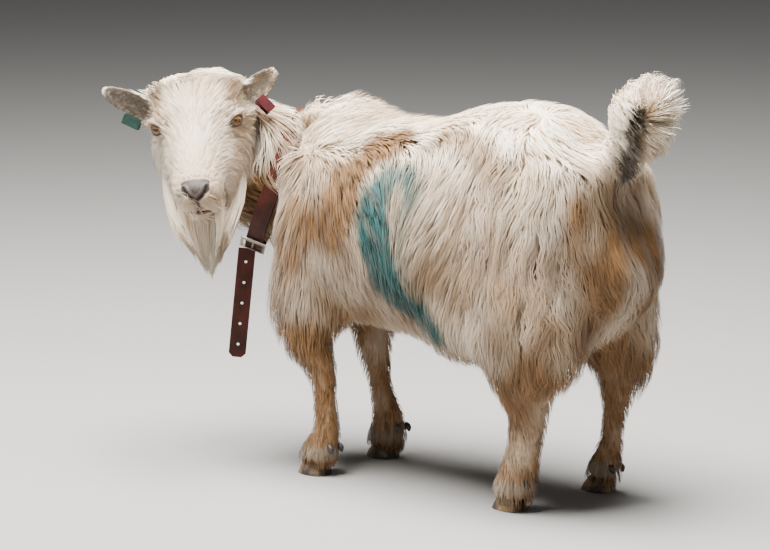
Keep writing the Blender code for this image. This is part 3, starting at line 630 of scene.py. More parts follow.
def on_ear(p):
    """1 on either ear."""
    q, total = to_head(p), 0
    for side in EARS:
        root, tip, along, front, across = ear_axes(side)
        r = q - root
        t = r @ along / np.linalg.norm(tip - root)
        wide, deep = np.abs(r @ across), r @ front
        limit = 0.018 + 0.009 * ramp(t, 0.05, 0.35)
        held = ramp(wide, limit + 0.004, limit) * ramp(deep, 0.024, 0.018) * ramp(deep, -0.014, -0.009)
        total = total + held * ramp(t, 0.06, 0.16) * ramp(t, 1.25, 1.15)
    return np.minimum(total, 1)


def lie(p):
    """The way the hair points at each place."""
    x, y, z = p.T
    s = np.tanh(x / 0.02)
    away = p - WHORL
    far = np.linalg.norm(away, axis=1)
    tail_axis = unit(TAIL_TIP - TAIL_ROOT)
    tail_out = p - TAIL_ROOT
    tail_out = unit(tail_out - tail_axis * (tail_out @ tail_axis)[:, None])
    turned = vector(s, 1, 1)
    fan = (p * turned - FAN) * turned
    near_fan = np.exp(-((np.linalg.norm(fan, axis=1) / 0.075) ** 2))
    flows = [
        (np.ones(len(p)), (0, 0.62, -0.78)),
        (4 * near_fan, unit(fan) + (-0.1, 0.8, -0.15)),
        (3 * ramp(z, 0.46, 0.52), vector(0.18 * s, 1, -0.08)),
        (2 * ramp(z, 0.37, 0.28), (0, 0.25, -1)),
        (6 * bump(p, (0, -0.19, 0.51), (0.07, 0.07, 0.05)), vector(0.25 * s, 0.7, 0.65)),
        (
            5 * bump(np.abs(p), (0.12, 0.15, 0.35), (0.07, 0.07, 0.10)) * (y < 0),
            vector(0, 0.5 * np.tanh((y + 0.16) / 0.02), -1),
        ),
        (8 * ramp(y, -0.235, -0.275), (-0.30, 0.62, -0.62)),
        (6 * bump(p, (0, -0.27, 0.30), (0.08, 0.06, 0.06)), (0, -0.15, -1)),
        (6 * np.exp(-((far / 0.085) ** 2)), unit(away * (1, 1, 0.3)) + (0, 0, -0.25)),
        (6 * bump(np.abs(p), (0.13, 0.14, 0.40), (0.09, 0.08, 0.13)) * (y > 0), (0, -0.45, -1)),
        (3 * ramp(y, 0.15, 0.22) * ramp(z, 0.50, 0.43), (0, 0.05, -1)),
        (4 * ramp(y, 0.27, 0.32), (0, 0.22, -1)),
        (12 * ramp(z, 0.23, 0.18), (0, 0.05, -1)),
        (30 * on_tail(p), tail_out * 0.95 + tail_axis * 0.70 + (0, 0.1, 0.1)),
    ]
    body = blend(flows)
    head = on_head(p)[:, None]
    ear = on_ear(p)[:, None]
    face = lie_head(to_head(p)) @ HEAD_TURN.T
    way = unit(body * (1 - head) + face * head)
    return unit(way * (1 - ear) + lie_ear(p) * ear)


def lie_ear(p):
    """Along each ear, from its root to its tip."""
    q, total = to_head(p), 0
    for side in EARS:
        _, _, along, _, _ = ear_axes(side)
        near = ramp(side * q[:, 0], 0.0, 0.02)[:, None]
        total = total + near * along
    return total @ HEAD_TURN.T


def on_tail(p):
    return path_mask(p, [TAIL_ROOT + (0, 0.006, 0.010), TAIL_TIP], 0.026, 0.016)


def lie_head(q):
    """Back from the nose over the face, down over the cheeks and to the beard's point below the jaw."""
    x, y, z = q.T
    s = np.sign(x)
    side = ramp(np.abs(x), 0.022, 0.044)
    low = ramp(z, -0.020, -0.055)
    flows = [
        (np.ones(len(q)), vector(22 * x, 1.0, 0.25)),
        (2.5 * side * ramp(z, 0.012, -0.02), vector(0.55 * s, 0.55, -0.65)),
        (5 * low * ramp(y, -0.115, -0.085), unit(to_head(BEARD_TIP[None])[0] - q)),
        (3 * ramp(y, 0.005, 0.045) * ramp(z, 0.0, 0.02), vector(11 * x, 0.55, 1.0)),
        (4 * ramp(y, 0.055, 0.08) * ramp(z, 0.02, 0.0), vector(0.2 * s, 0.6, -0.8)),
        (4 * ramp(y, -0.090, -0.115), vector(20 * x, 0.9, -0.35)),
    ]
    return blend(flows)


def tuft_form(p):
    """Length, lift off the skin, half width and looseness of the tufts at each root."""
    x, y, z = p.T
    q = to_head(p)
    withers = bump(p, (0, -0.17, 0.51), (0.09, 0.07, 0.05))
    chest = ramp(y, -0.16, -0.22) * ramp(z, 0.36, 0.30)
    thigh = ramp(y, 0.13, 0.19) * ramp(z, 0.52, 0.44)
    leg = ramp(z, 0.225, 0.17)
    under = ramp(z, 0.26, 0.22) * ramp(np.abs(x), 0.11, 0.08)
    length = 0.054 - 0.008 * ramp(z, 0.48, 0.53) + 0.018 * withers + 0.026 * chest + 0.048 * thigh
    length = length - 0.008 * ramp(y, -0.26, -0.31) * ramp(z, 0.42, 0.38) * (1 - chest)
    length = length * (1 - under) + 0.040 * under
    shank = 0.015 + 0.009 * ramp(z, 0.09, 0.16) + 0.012 * ramp(z, 0.07, 0.05)
    length = length * (1 - leg) + shank * leg
    lift = (0.35 + 0.9 * withers + 1.1 * chest + 0.9 * on_tail(p)) * (1 - 0.75 * leg)
    width = 0.00094 - 0.00008 * leg
    loose = 0.65 * withers + 1.2 * chest + 0.9 * thigh * ramp(z, 0.36, 0.28)
    head = on_head(p)
    face = 0.022 + 0.016 * ramp(q[:, 1], 0.0, 0.045)
    jaw = ramp(q[:, 2], -0.026, -0.052) * ramp(q[:, 1], -0.112, -0.088)
    face = face + 0.026 * ramp(q[:, 1], 0.005, 0.04) * ramp(q[:, 2], -0.015, -0.035)
    muzzle = ramp(q[:, 1], -0.065, -0.108)
    face = face * (1 - muzzle) + 0.0055 * muzzle + 0.022 * jaw
    face = face * (1 - 0.5 * bump(q, (0, -0.130, -0.044), (0.034, 0.034, 0.020), 4.0))
    for side in (1, -1):
        face = face * (1 - 0.76 * bump(q, mirrored(EYE_PLACE, side), (0.024, 0.024, 0.020), 4.0))
    for root, tip, _ in EARS.values():
        face = face * (1 - 0.72 * path_mask(q, [root, tip], 0.018, 0.018))
    length = length * (1 - head) + face * head
    poll = ramp(q[:, 1], 0.005, 0.045) * ramp(q[:, 2], 0.0, 0.02)
    lift = lift * (1 - head) + (0.22 + 2.6 * poll) * head
    loose = loose * (1 - head) + (1.7 * poll + 0.3 * jaw) * head
    width = width * (1 - head) + (0.00085 - 0.0002 * ramp(q[:, 1], -0.07, -0.11)) * head
    ear = on_ear(p)
    length = length * (1 - ear) + 0.0055 * ear
    lift = lift * (1 - ear) + 0.10 * ear
    width = width * (1 - ear) + 0.0007 * ear
    tail = on_tail(p)
    length = length * (1 - tail) + 0.062 * tail
    return length, lift, width, loose * (1 - tail) * (1 - ear) + 0.45 * tail


def collar_press(p):
    """How far the collar holds the coat down and how far the hair falls over it instead, 0 to 1 each."""
    off = np.abs((p - COLLAR_CENTRE) @ COLLAR_AXIS)
    beside = ramp(np.linalg.norm(p - COLLAR_CENTRE, axis=1), 0.16, 0.13)
    covered = ramp(p[:, 2], 0.372, 0.410) * (p[:, 0] > 0)
    press = ramp(off, 0.026, 0.013) * beside * (1 - covered)
    return press, covered * ramp(off, 0.040, 0.018) * beside


def grow(roots, rings, low, spread, reach):
    """The middle line of each tuft: points, the way out of the skin along it, half width and length."""
    length, lift, width, loose = tuft_form(roots)
    length = length * reach * RNG.uniform(0.75, 1.15, len(roots))
    layer = low + spread * RNG.random(len(roots)) ** 0.6
    _, normal, depth = ground.at(roots)
    p = roots - normal * ROOT_SINK
    way = unit(lie(roots) + normal * 0.9)
    lines, outs = [p], [normal]
    step = (length / rings)[:, None]
    swirl = np.stack([ripple(roots, 0.06, seed) for seed in (51, 52, 53)], 1) * 0.22
    for k in range(1, rings + 1):
        t = k / rings
        flow = lie(p) + swirl
        inward = np.minimum((flow * normal).sum(1, keepdims=True), 0)
        aim = unit(flow - normal * inward + normal * (lift * (1 - t) ** 1.5)[:, None])
        way = unit(0.4 * way + 0.6 * aim)
        p = p + way * step
        place, normal, depth = ground.at(p)
        high = ((p - place) * normal).sum(1)
        press, fall = collar_press(p)
        over = depth * (1 - 0.75 * press) + 0.0055 * fall
        stack = layer + np.maximum(1.0 - layer, 0) * fall
        most = over * stack * (1 + loose * t) + 0.0012
        least = np.minimum(over * stack * (0.72 + 0.24 * fall) * ramp(np.full(len(p), t), 0, 0.5), most)
        held = np.clip(high, least, most)
        p = p + normal * ((held - high) * 0.65)[:, None]
        lines.append(p)
        outs.append(normal)
    return np.stack(lines, 1), np.stack(outs, 1), width, length


def clump(lines, outs, length, size, wave, curl, gather=1.0):
    """Draws tufts into locks round leaders and gives each lock its waves and its rounding."""
    roots = lines[:, 0]
    count = max(8, int(len(roots) / size))
    leaders = RNG.choice(len(roots), count, replace=False)
    own = nearest_of(roots[leaders])(roots)
    lead = leaders[own]
    t = np.linspace(0, 1, lines.shape[1])[None, :, None]
    offset = lines - lines[lead]
    meet = lines[lead] + (roots - roots[lead])[:, None] * (1 - 0.8 * t)
    pull = gather * (0.35 + 0.5 * RNG.random((len(roots), 1, 1))) * t ** 0.8
    lines = lines + (meet - lines) * pull
    along = unit(np.gradient(lines, axis=1))
    across = unit(np.cross(along, outs))
    phase = 2.2 * ripple(roots[lead], 0.05, 3) + RNG.uniform(-0.5, 0.5, count)[own]
    run = t[:, :, 0] * length[:, None]
    amount = wave * np.minimum(length / 0.05, 1.2)[:, None] * RNG.uniform(0.5, 1.3, count)[own][:, None]
    swing = amount * np.sin(run / curl + phase[:, None] * 2) * np.clip(t[:, :, 0] * 1.6, 0, 1)
    lines = lines + across * swing[:, :, None]
    stray = RNG.normal(size=(len(roots), 1, 3)) * (0.0010 * t ** 1.5)
    lines = lines + stray * np.minimum(length / 0.04, 1.0)[:, None, None]
    sideways = (offset * across).sum(2, keepdims=True)
    shade = unit(outs + across * np.clip(sideways / 0.011, -0.6, 0.6) + along * 0.12)
    return lines, shade, own


def taper_faces(rings):
    """Triangles of one closed three-sided taper, whose point is its last vertex."""
    faces = [(0, 1, 2)]
    last = 3 * rings - 3
    for a, b in ((1, 0), (2, 1), (0, 2)):
        for low in range(0, last, 3):
            high = low + 3
            faces += [(low + a, low + b, high + b), (low + a, high + b, high + a)]
        faces.append((last + a, last + b, last + 3))
    return np.array(faces)


def triangle_mesh(name, points, faces, uv):
    """A smooth mesh of triangles, with a place on the map for each vertex."""
    mesh = bpy.data.meshes.new(name)
    mesh.vertices.add(len(points))
    mesh.vertices.foreach_set("co", points.astype(np.float32).ravel())
    mesh.loops.add(len(faces) * 3)
    mesh.loops.foreach_set("vertex_index", faces.astype(np.int32).ravel())
    mesh.polygons.add(len(faces))
    mesh.polygons.foreach_set("loop_start", np.arange(0, len(faces) * 3, 3, dtype=np.int32))
    layer = mesh.uv_layers.new(name="OFBake")
    layer.data.foreach_set("uv", uv[faces.ravel()].astype(np.float32).ravel())
    mesh.update(calc_edges=True)
    mesh.shade_smooth()
    return mesh


def tufts(name, lines, outs, shade, width, own, sheet, places):
    """A piece of coat: each tuft a closed taper, shaded as a part of its lock and marked for its place."""
    count, rings = lines.shape[0], lines.shape[1] - 1
    along = np.gradient(lines, axis=1)
    across = unit(np.cross(along, outs))
    rise = unit(np.cross(across, along))
    t = np.linspace(0, 1, rings + 1)
    taper = (0.75 + 0.5 * np.sqrt(t)) * (1 - t) ** 0.75
    half = (width[:, None] * taper * RNG.uniform(0.7, 1.3, (count, 1)))[:, :rings, None]
    middle, side, top = lines[:, :rings], across[:, :rings], rise[:, :rings]
    ring = np.stack([middle - side * half, middle + side * half, middle + top * half * 0.5], 2)
    points = np.concatenate([ring.reshape(count, -1, 3), lines[:, rings:]], 1)
    size = points.shape[1]
    pattern = taper_faces(rings)
    faces = (np.arange(count)[:, None, None] * size + pattern).reshape(-1, 3)
    ts = np.append(np.repeat(t[:rings], 3), 1.0)
    lateral = np.append(np.tile((-1.0, 1.0, 0.0), rings), 0.0)
    nudge = np.append(np.tile((0.0, 0.0, 0.0004), rings), 0.0)
    patch = np.stack([0.0015 * lateral, nudge + 0.0028 * ts], 1)
    uv = (sheet[:, None] + patch).reshape(-1, 2)
    points = points.reshape(-1, 3)
    mesh = triangle_mesh(name, points, faces, uv)
    ends = np.append(np.repeat(np.arange(rings), 3), rings)
    up = rise[:, ends]
    soft = unit(0.55 * shade[:, ends] + 0.55 * up + 0.30 * across[:, ends] * lateral[:, None])
    below = soft - 1.6 * (soft * up).sum(2, keepdims=True) * up
    under = np.arange(len(pattern)) < 2 * rings
    normals = np.where(under[:, None, None], below[:, pattern], soft[:, pattern])
    mesh.normals_split_custom_set(normals.reshape(-1, 3).astype(np.float32))
    lock_tone = RNG.random(own.max() + 1)[own]
    tone = np.repeat(0.55 * lock_tone + 0.45 * RNG.random(count), size)
    marked(mesh, np.repeat(places, size, axis=0), points, np.tile(ts, count), tone)
    piece(name, mesh, coat_look)


def tan_and_shade_at(p):
    """The tan patches, alike on both sides of the trunk, with painted shade laid on as tan low on the body,
    on the legs, at the rear and over the face.
    """
    y, z = p[:, 1], p[:, 2]
    flat = folded(p) + 0.010 * np.stack([ripple(p, 0.03, seed) for seed in (11, 12, 13)], 1)
    broken = 0.9 + 0.25 * ripple(p, 0.05, 14)
    total = strongest(
        *(amount * path_mask(flat, path, width, fade) for path, width, fade, amount in TAN_PATHS),
        # Tan that grows towards the bottom and the rear: partly the coat's own warmer hair and partly painted
        # shade of the legs, the lower sides, the front of the shoulder and the low thigh.
        1.2 * ramp(z, 0.27, 0.19) * broken,
        0.55 * ramp(z, 0.52, 0.44) * (0.85 + 0.3 * ripple(p, 0.07, 15)),
        0.80 * ramp(z, 0.46, 0.33) * broken,
        0.85 * ramp(y, -0.07, -0.12) * ramp(z, 0.47, 0.42) * broken,
        0.95 * ramp(z, 0.38, 0.27) * ramp(y, 0.14, 0.20) * broken,
        # The rear faces away from the lamps, so its tan here is mostly painted shade.
        1.05 * ramp(y, 0.25, 0.31) * ramp(z, 0.50, 0.44) * broken,
    )
    chin = from_head(np.array((0, -0.09, -0.05)))
    total = total * (1 - 0.8 * path_mask(p, [chin, BEARD_TIP], 0.050, 0.015))
    head, q = on_head(p), folded(to_head(p))
    face = strongest(
        0.95 * bump(q, (0.046, 0.012, 0.024), (0.018, 0.024, 0.020), 3.0),
        bump(q, (0.046, 0.044, 0.028), (0.020, 0.017, 0.018), 3.0),
        0.95 * bump(q, (0.066, 0.016, -0.016), (0.018, 0.034, 0.036)),
        0.70 * bump(q, (0.034, -0.012, 0.022), (0.014, 0.022, 0.014)),
        # Painted shade: a tan floor over the whole face darkens its front, less so towards the chin.
        0.36 - 0.14 * ramp(q[:, 2], -0.03, -0.06),
    )
    return total * (1 - head) + face * head


def teal_at(p):
    """The sprayed mark on the left flank."""
    d, where = line_distance(p, TEAL)
    width = np.interp(where, *TEAL_WIDTHS) / 1000
    wander = 0.005 * ripple(p, 0.018, 21)
    mark = ramp(d + wander, width + 0.007, width - 0.004) * np.interp(where, *TEAL_STRENGTH)
    mark = np.maximum(mark, 0.42 * ramp(off_line(p, TEAL_THIN) + wander, 0.024, 0.006))
    return mark * (p[:, 0] > 0) * (0.92 + 0.16 * ripple(p, 0.010, 22))


def dark_at(p):
    """Dark hair: under the tail, above the hooves, round the eyes and at their tear corners; and a light
    painted shade over the whole head.
    """
    z = p[:, 2]
    hooves = 0.45 * ramp(z, 0.044, 0.036) * ramp(z, 0.022, 0.030) * (z < 0.1)
    # The 0.10 over the whole head is painted shade that greys the face.
    total = strongest(0.95 * path_mask(p, UNDER_TAIL, 0.010, 0.008), 0.10 * on_head(p), hooves)
    q = to_head(p)
    for side in (1, -1):
        centre, gaze, corner, up = eye_frame(side)
        start = centre + gaze * 0.011 + corner * 0.010
        tear = path_mask(q, [start, start + corner * 0.007 + (0, 0, -0.004)], 0.0012, 0.0035)
        r = q - centre
        ring = np.hypot(r @ corner / 0.0130, (r @ up - 0.001) / 0.0085)
        lids = ramp(ring, 1.25, 1.0) * ramp(np.linalg.norm(r, axis=1), 0.024, 0.020)
        total = strongest(total, 0.75 * tear, 0.8 * lids)
    return total


def ear_inside(p):
    """1 on the hollow side of either ear, which is dark within a white rim."""
    q = to_head(p)
    total = 0
    for side in EARS:
        root, tip, along, front, across = ear_axes(side)
        near = ramp(side * q[:, 0], 0.045, 0.060)
        r = q - root
        t = r @ along / np.linalg.norm(tip - root)
        wide = ear_width(t)
        share = np.clip(np.abs(r @ across) / wide, 0, 1)
        cup = 0.72 * wide * (1 - 0.5 * t) * (1 - np.sqrt(1 - share ** 2))
        rise = r @ front + 0.006 * np.sin(math.pi * np.clip(t, 0, 1)) - cup
        total = total + near * ramp(rise, -0.0012, 0.0004) * ramp(share, 0.98, 0.88) * ramp(t, 0.97, 0.90)
    return total * on_ear(p)


def mouth_lines(q):
    """How far each place on the face is from the slit of the mouth and from the cleft of the lip."""
    return off_line(q * FLATTER, MOUTH * FLATTER), off_line(q * FLATTER, CLEFT * FLATTER)


def hollow_shade_at(p):
    """Painted shade: the dark inside the nostrils and in the slit between the lips."""
    q = folded(to_head(p))
    lips = ramp(np.minimum(*mouth_lines(q)), 0.0026, 0.0012) * ramp(q[:, 1], -0.088, -0.100)
    return np.maximum(ramp(off_line(q, NOSTRIL), 0.0034, 0.0018), 0.85 * lips)


def nose_at(p):
    """The bare nose, lips and eyelids."""
    q = folded(to_head(p))
    x, y, z = q.T
    low = -0.0185 + 0.62 * x
    pad = ramp(z, low - 0.0015, low + 0.0010) * ramp(z, 0.0075 - 0.10 * x, 0.0045 - 0.10 * x)
    pad = pad * ramp(x, 0.0225, 0.0195) * ramp(y, -0.117, -0.121)
    slit, cleft = mouth_lines(q)
    r = q - EYE_PLACE
    _, _, corner, up = eye_frame(1)
    ring = np.hypot(r @ corner / 0.0130, r @ up / 0.0090)
    return strongest(
        pad,
        0.75 * ramp(slit, 0.0070, 0.0040) * ramp(y, -0.088, -0.100),
        0.85 * ramp(cleft, 0.0050, 0.0024),
        0.74 * bump(q, (0, -0.130, -0.051), (0.023, 0.022, 0.011), 4.0),
        0.60 * bump(q, (0, -0.138, -0.032), (0.012, 0.012, 0.010), 4.0),
        ramp(ring, 1.15, 0.95) * ramp(np.linalg.norm(r, axis=1), 0.021, 0.018),
    )


def marked(mesh, roots, points, along, tone):
    """Stores the markings, painted shade among them, and the strand's own values on the mesh's vertices."""
    dark = strongest(dark_at(points), 0.8 * dark_at(roots), 0.86 * ear_inside(roots))
    teal = 0.5 * teal_at(points) + 0.5 * teal_at(roots)
    shown = roots + 0.9 * (points - roots) * (1 - on_head(roots))[:, None]
    broad = 0.5 + 0.5 * ripple(roots, 0.035, 31)
    stored(mesh, "marks_and_shade", tan_and_shade_at(shown) * (1 - dark), teal, dark, along)
    stored(mesh, "strand", tone, broad, hollow_shade_at(points), nose_at(points))


def stored(mesh, name, *columns):
    """Four values of each vertex as a colour attribute."""
    layer = mesh.color_attributes.new(name, "FLOAT_COLOR", "POINT")
    values = np.clip(np.stack(columns, 1), 0, 1)
    layer.data.foreach_set("color", values.astype(np.float32).ravel())


# Materials


def principled(name, **sockets):
    """A material, its node tree and its shader, with constant values on the named sockets."""
    material = bpy.data.materials.new(name)
    material.use_nodes = True
    shader = material.node_tree.nodes["Principled BSDF"]
    for key, value in sockets.items():
        shader.inputs[key.replace("_", " ")].default_value = value
    return material, material.node_tree, shader


def finished(shader, colour, height=None, strength=0.2, distance=0.0005):
    """Joins a colour and, where there is one, a bump to the shader."""
    tree = shader.id_data
    tree.links.new(colour, shader.inputs["Base Color"])
    if height is not None:
        node = tree.nodes.new("ShaderNodeBump")
        node.inputs["Strength"].default_value = strength
        node.inputs["Distance"].default_value = distance
        tree.links.new(height, node.inputs["Height"])
        tree.links.new(node.outputs[0], shader.inputs["Normal"])


def feed(node, values):
    """Gives each input of the node its value: a link to a socket, or a constant."""
    for socket, value in values:
        if isinstance(value, bpy.types.NodeSocket):
            node.id_data.links.new(value, socket)
        else:
            socket.default_value = value


def srgb(r, g, b):
    """A colour given as 0-255 display values."""
    return tuple(((v / 255 + 0.055) / 1.055) ** 2.4 if v > 10 else v / 3295 for v in (r, g, b)) + (1.0,)


def mixed(tree, factor, low, high, kind="MIX"):
    """A colour mix; low, high and factor are sockets or constants."""
    node = tree.nodes.new("ShaderNodeMix")
    node.data_type, node.blend_type = "RGBA", kind
    feed(node, zip((node.inputs[0], node.inputs[6], node.inputs[7]), (factor, low, high)))
    return node.outputs[2]


def calculated(tree, kind, *values):
    """One step of arithmetic on sockets or constants."""
    node = tree.nodes.new("ShaderNodeMath")
    node.operation = kind
    feed(node, zip(node.inputs, values))
    return node.outputs[0]


def ranged(tree, value, low, high, to_low=0.0, to_high=1.0):
    """The value carried from the range low to high into another, and held at its ends."""
    node = tree.nodes.new("ShaderNodeMapRange")
    feed(node, zip(node.inputs, (value, low, high, to_low, to_high)))
    return node.outputs[0]


def noise(tree, scale, detail=3.0, stretch=(1, 1, 1)):
    """Fractal noise in the object's own space, finer along an axis with a larger stretch."""
    node = tree.nodes.new("ShaderNodeTexNoise")
    node.inputs["Scale"].default_value = scale
    node.inputs["Detail"].default_value = detail
    place = tree.nodes.new("ShaderNodeTexCoord").outputs["Object"]
    mapping = tree.nodes.new("ShaderNodeMapping")
    mapping.inputs["Scale"].default_value = stretch
    tree.links.new(place, mapping.inputs["Vector"])
    tree.links.new(mapping.outputs[0], node.inputs["Vector"])
    return node.outputs["Fac"]


def split(tree, name):
    """Red, green, blue and alpha of a colour attribute."""
    attribute = tree.nodes.new("ShaderNodeAttribute")
    attribute.attribute_name = name
    parts = tree.nodes.new("ShaderNodeSeparateColor")
    tree.links.new(attribute.outputs["Color"], parts.inputs[0])
    return parts.outputs[0], parts.outputs[1], parts.outputs[2], attribute.outputs["Alpha"]


def fur(name, on_skin):
    """Cream hair with its tan, teal and dark markings, and painted shade at the coat's roots. On the skin it
    is duller, has bare places and painted shade in the nostrils and mouth.
    """
    material, tree, shader = principled(name, Roughness=0.55, Specular_IOR_Level=0.25)
    shader.inputs["Sheen Weight"].default_value = 0.25
    shader.inputs["Sheen Roughness"].default_value = 0.4
    tan, teal, dark, along = split(tree, "marks_and_shade")
    tone, broad, hollow, bare = split(tree, "strand")
    cream = mixed(tree, tone, srgb(236, 214, 180), srgb(255, 250, 238))
    cream = mixed(tree, ranged(tree, broad, 0.35, 0.95, 0.0, 0.6), cream, srgb(234, 208, 174))
    # The tan and dark hair colours also lay on painted shade: on the legs, low sides and rear, and over the
    # face.
    tan_hair = mixed(tree, tone, srgb(90, 64, 37), srgb(150, 112, 72))
    teal_hair = mixed(tree, tone, srgb(2, 48, 54), srgb(16, 94, 92))
    dark_hair = mixed(tree, tone, srgb(34, 28, 26), srgb(62, 53, 48))
    colour = mixed(tree, dark, mixed(tree, tan, cream, tan_hair), dark_hair)
    colour = mixed(tree, teal, colour, teal_hair)
    if on_skin:
        colour = mixed(tree, 0.25, colour, srgb(190, 160, 132))
        pad = mixed(tree, ranged(tree, noise(tree, 420, 2), 0.25, 0.75), srgb(40, 34, 32), srgb(78, 68, 62))
        lip = mixed(tree, ranged(tree, noise(tree, 300, 3), 0.42, 0.60), srgb(50, 35, 31), srgb(136, 100, 88))
        pad = mixed(tree, ranged(tree, bare, 0.75, 0.95), lip, pad)
        # Painted shade: near black in the nostrils and the slit of the mouth.
        colour = mixed(tree, hollow, mixed(tree, bare, colour, pad), srgb(24, 18, 18))
    else:
        # Painted shade: each strand darker towards its root, where it lies under the hair above it.
        root = ranged(tree, along, 0.0, 0.5, 0.4, 0.0)
        colour = mixed(tree, root, colour, mixed(tree, 1.0, colour, srgb(214, 186, 156), "MULTIPLY"))
    finished(shader, colour, noise(tree, 1400 if on_skin else 2200, 2))
    return material


def eye_material():
    """Amber iris round a level slot pupil, wet and clear."""
    material, tree, shader = principled("eye", Roughness=0.25, Coat_Weight=0.25, Coat_Roughness=0.05)
    shader.inputs["Specular IOR Level"].default_value = 0.3
    a, b, _, _ = split(tree, "aim")
    a, b = (calculated(tree, "MULTIPLY_ADD", value, 2.0, -1.0) for value in (a, b))

    def power(value, size, exponent):
        return calculated(tree, "POWER", calculated(tree, "DIVIDE", value, size), exponent)

    away = calculated(tree, "SQRT", calculated(tree, "ADD", power(a, 1.0, 2.0), power(b, 1.0, 2.0)))
    slot = calculated(tree, "ADD", power(a, 0.46, 4.0), power(b, 0.17, 2.0))
    amber = mixed(tree, ranged(tree, noise(tree, 900, 3), 0.3, 0.7), srgb(98, 60, 24), srgb(164, 116, 56))
    colour = mixed(tree, ranged(tree, away, 0.42, 0.62), amber, srgb(70, 46, 26))
    colour = mixed(tree, ranged(tree, away, 0.60, 0.66), colour, srgb(52, 38, 30))
    colour = mixed(tree, ranged(tree, away, 0.80, 0.95), colour, srgb(150, 128, 112))
    colour = mixed(tree, ranged(tree, slot, 1.25, 0.85), colour, srgb(10, 8, 8))
    finished(shader, colour)
    return material


def leather():
    """Worn brown leather, darker in its grain."""
    material, tree, shader = principled("leather", Roughness=0.62, Specular_IOR_Level=0.3)
    grain = noise(tree, 700, 4)
    colour = mixed(tree, ranged(tree, noise(tree, 28, 3), 0.35, 0.7), srgb(46, 18, 11), srgb(88, 36, 22))
    colour = mixed(tree, ranged(tree, grain, 0.3, 0.5, 0.5, 0.0), colour, srgb(20, 10, 7))
    finished(shader, colour, grain, 0.35, 0.0006)
    return material


def steel():
    """Dull buckle steel, stained in places."""
    material, tree, shader = principled("steel", Metallic=1.0, Roughness=0.34)
    colour = mixed(tree, noise(tree, 120, 4), srgb(96, 88, 78), srgb(168, 162, 150))
    finished(shader, colour, noise(tree, 500, 2), 0.2, 0.0004)
    return material


def plastic(name, dark, light):
    """Weathered moulded plastic."""
    material, tree, shader = principled(name, Roughness=0.7, Specular_IOR_Level=0.2)
    colour = mixed(tree, ranged(tree, noise(tree, 90, 4), 0.3, 0.7), dark, light)
    finished(shader, colour, noise(tree, 260, 3), 0.15)
    return material


def horn(name, dark, light, share):
    """Ringed horn, pale where it is worn."""
    material, tree, shader = principled(name, Roughness=0.5)
    rings = noise(tree, 30, 4, (1, 1, 14))
    colour = mixed(tree, ranged(tree, noise(tree, 38, 3), share - 0.12, share + 0.12), dark, light)
    colour = mixed(tree, ranged(tree, rings, 0.35, 0.65, 0.45, 0.0), colour, srgb(44, 37, 32))
    finished(shader, colour, rings, 0.5, 0.0012)
    return material


skin_look, coat_look = fur("skin", True), fur("coat", False)
eye_look, leather_look, steel_look = eye_material(), leather(), steel()
fore_horn = horn("fore_horn", srgb(48, 42, 38), srgb(140, 112, 80), 0.52)
hind_horn = horn("hind_horn", srgb(60, 52, 44), srgb(156, 126, 88), 0.46)
bud_horn = horn("bud_horn", srgb(36, 32, 30), srgb(78, 70, 62), 0.5)

# The skin, and the outer surface of the solids that limits the coat.

body_parts = [frame["nodes"][node].data.copy() for node in FLESH if node != "beard"]
for part in body_parts:
    part.transform(Matrix.Translation(-ORIGIN))
cover_mesh = modified(melted(body_parts, COVER_VOXEL), "SMOOTH", iterations=2)
cover = bvhtree.BVHTree.FromPolygons(points_of(cover_mesh).tolist(), triangles_of(cover_mesh).tolist())

skin_shape = skin_mesh()
ground = Ground(skin_shape, cover)
fine_tone = 0.5 + 0.5 * ripple(ground.points, 0.006, 41)
marked(skin_shape, ground.points, ground.points, np.zeros(len(ground.points)), fine_tone)
piece("skin", skin_shape, skin_look, FLESH)

# Eyes, collar, tags and horn


def eye(label, side):
    """An eyeball with a slightly raised cornea; its iris and slot are drawn by the material."""
    centre, gaze, _, _ = eye_frame(side)
    points, faces = ball(0.0, EYE_RADIUS - 0.0002)
    ahead = unit(points)
    bulge = 1 + 0.05 * ramp(ahead @ gaze, 0.70, 0.95)
    mesh = rounded("eye", from_head(centre + points * bulge[:, None]), faces)
    level = unit(np.cross(gaze, HEAD_TURN.T @ (0, 0, 1)))
    axes = np.stack([level, np.cross(level, gaze), gaze], 1)
    stored(mesh, "aim", *(0.5 + 0.5 * ahead @ axes).T, np.ones(len(points)))
    piece(f"eyeball_{label}", mesh, eye_look, [f"eye_{label}"])


def eased(obj, width):
    """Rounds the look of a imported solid's edges and leaves its mesh alone."""
    obj.modifiers.new("welded", "WELD")
    rounding = obj.modifiers.new("eased", "BEVEL")
    rounding.width, rounding.segments = width, 2


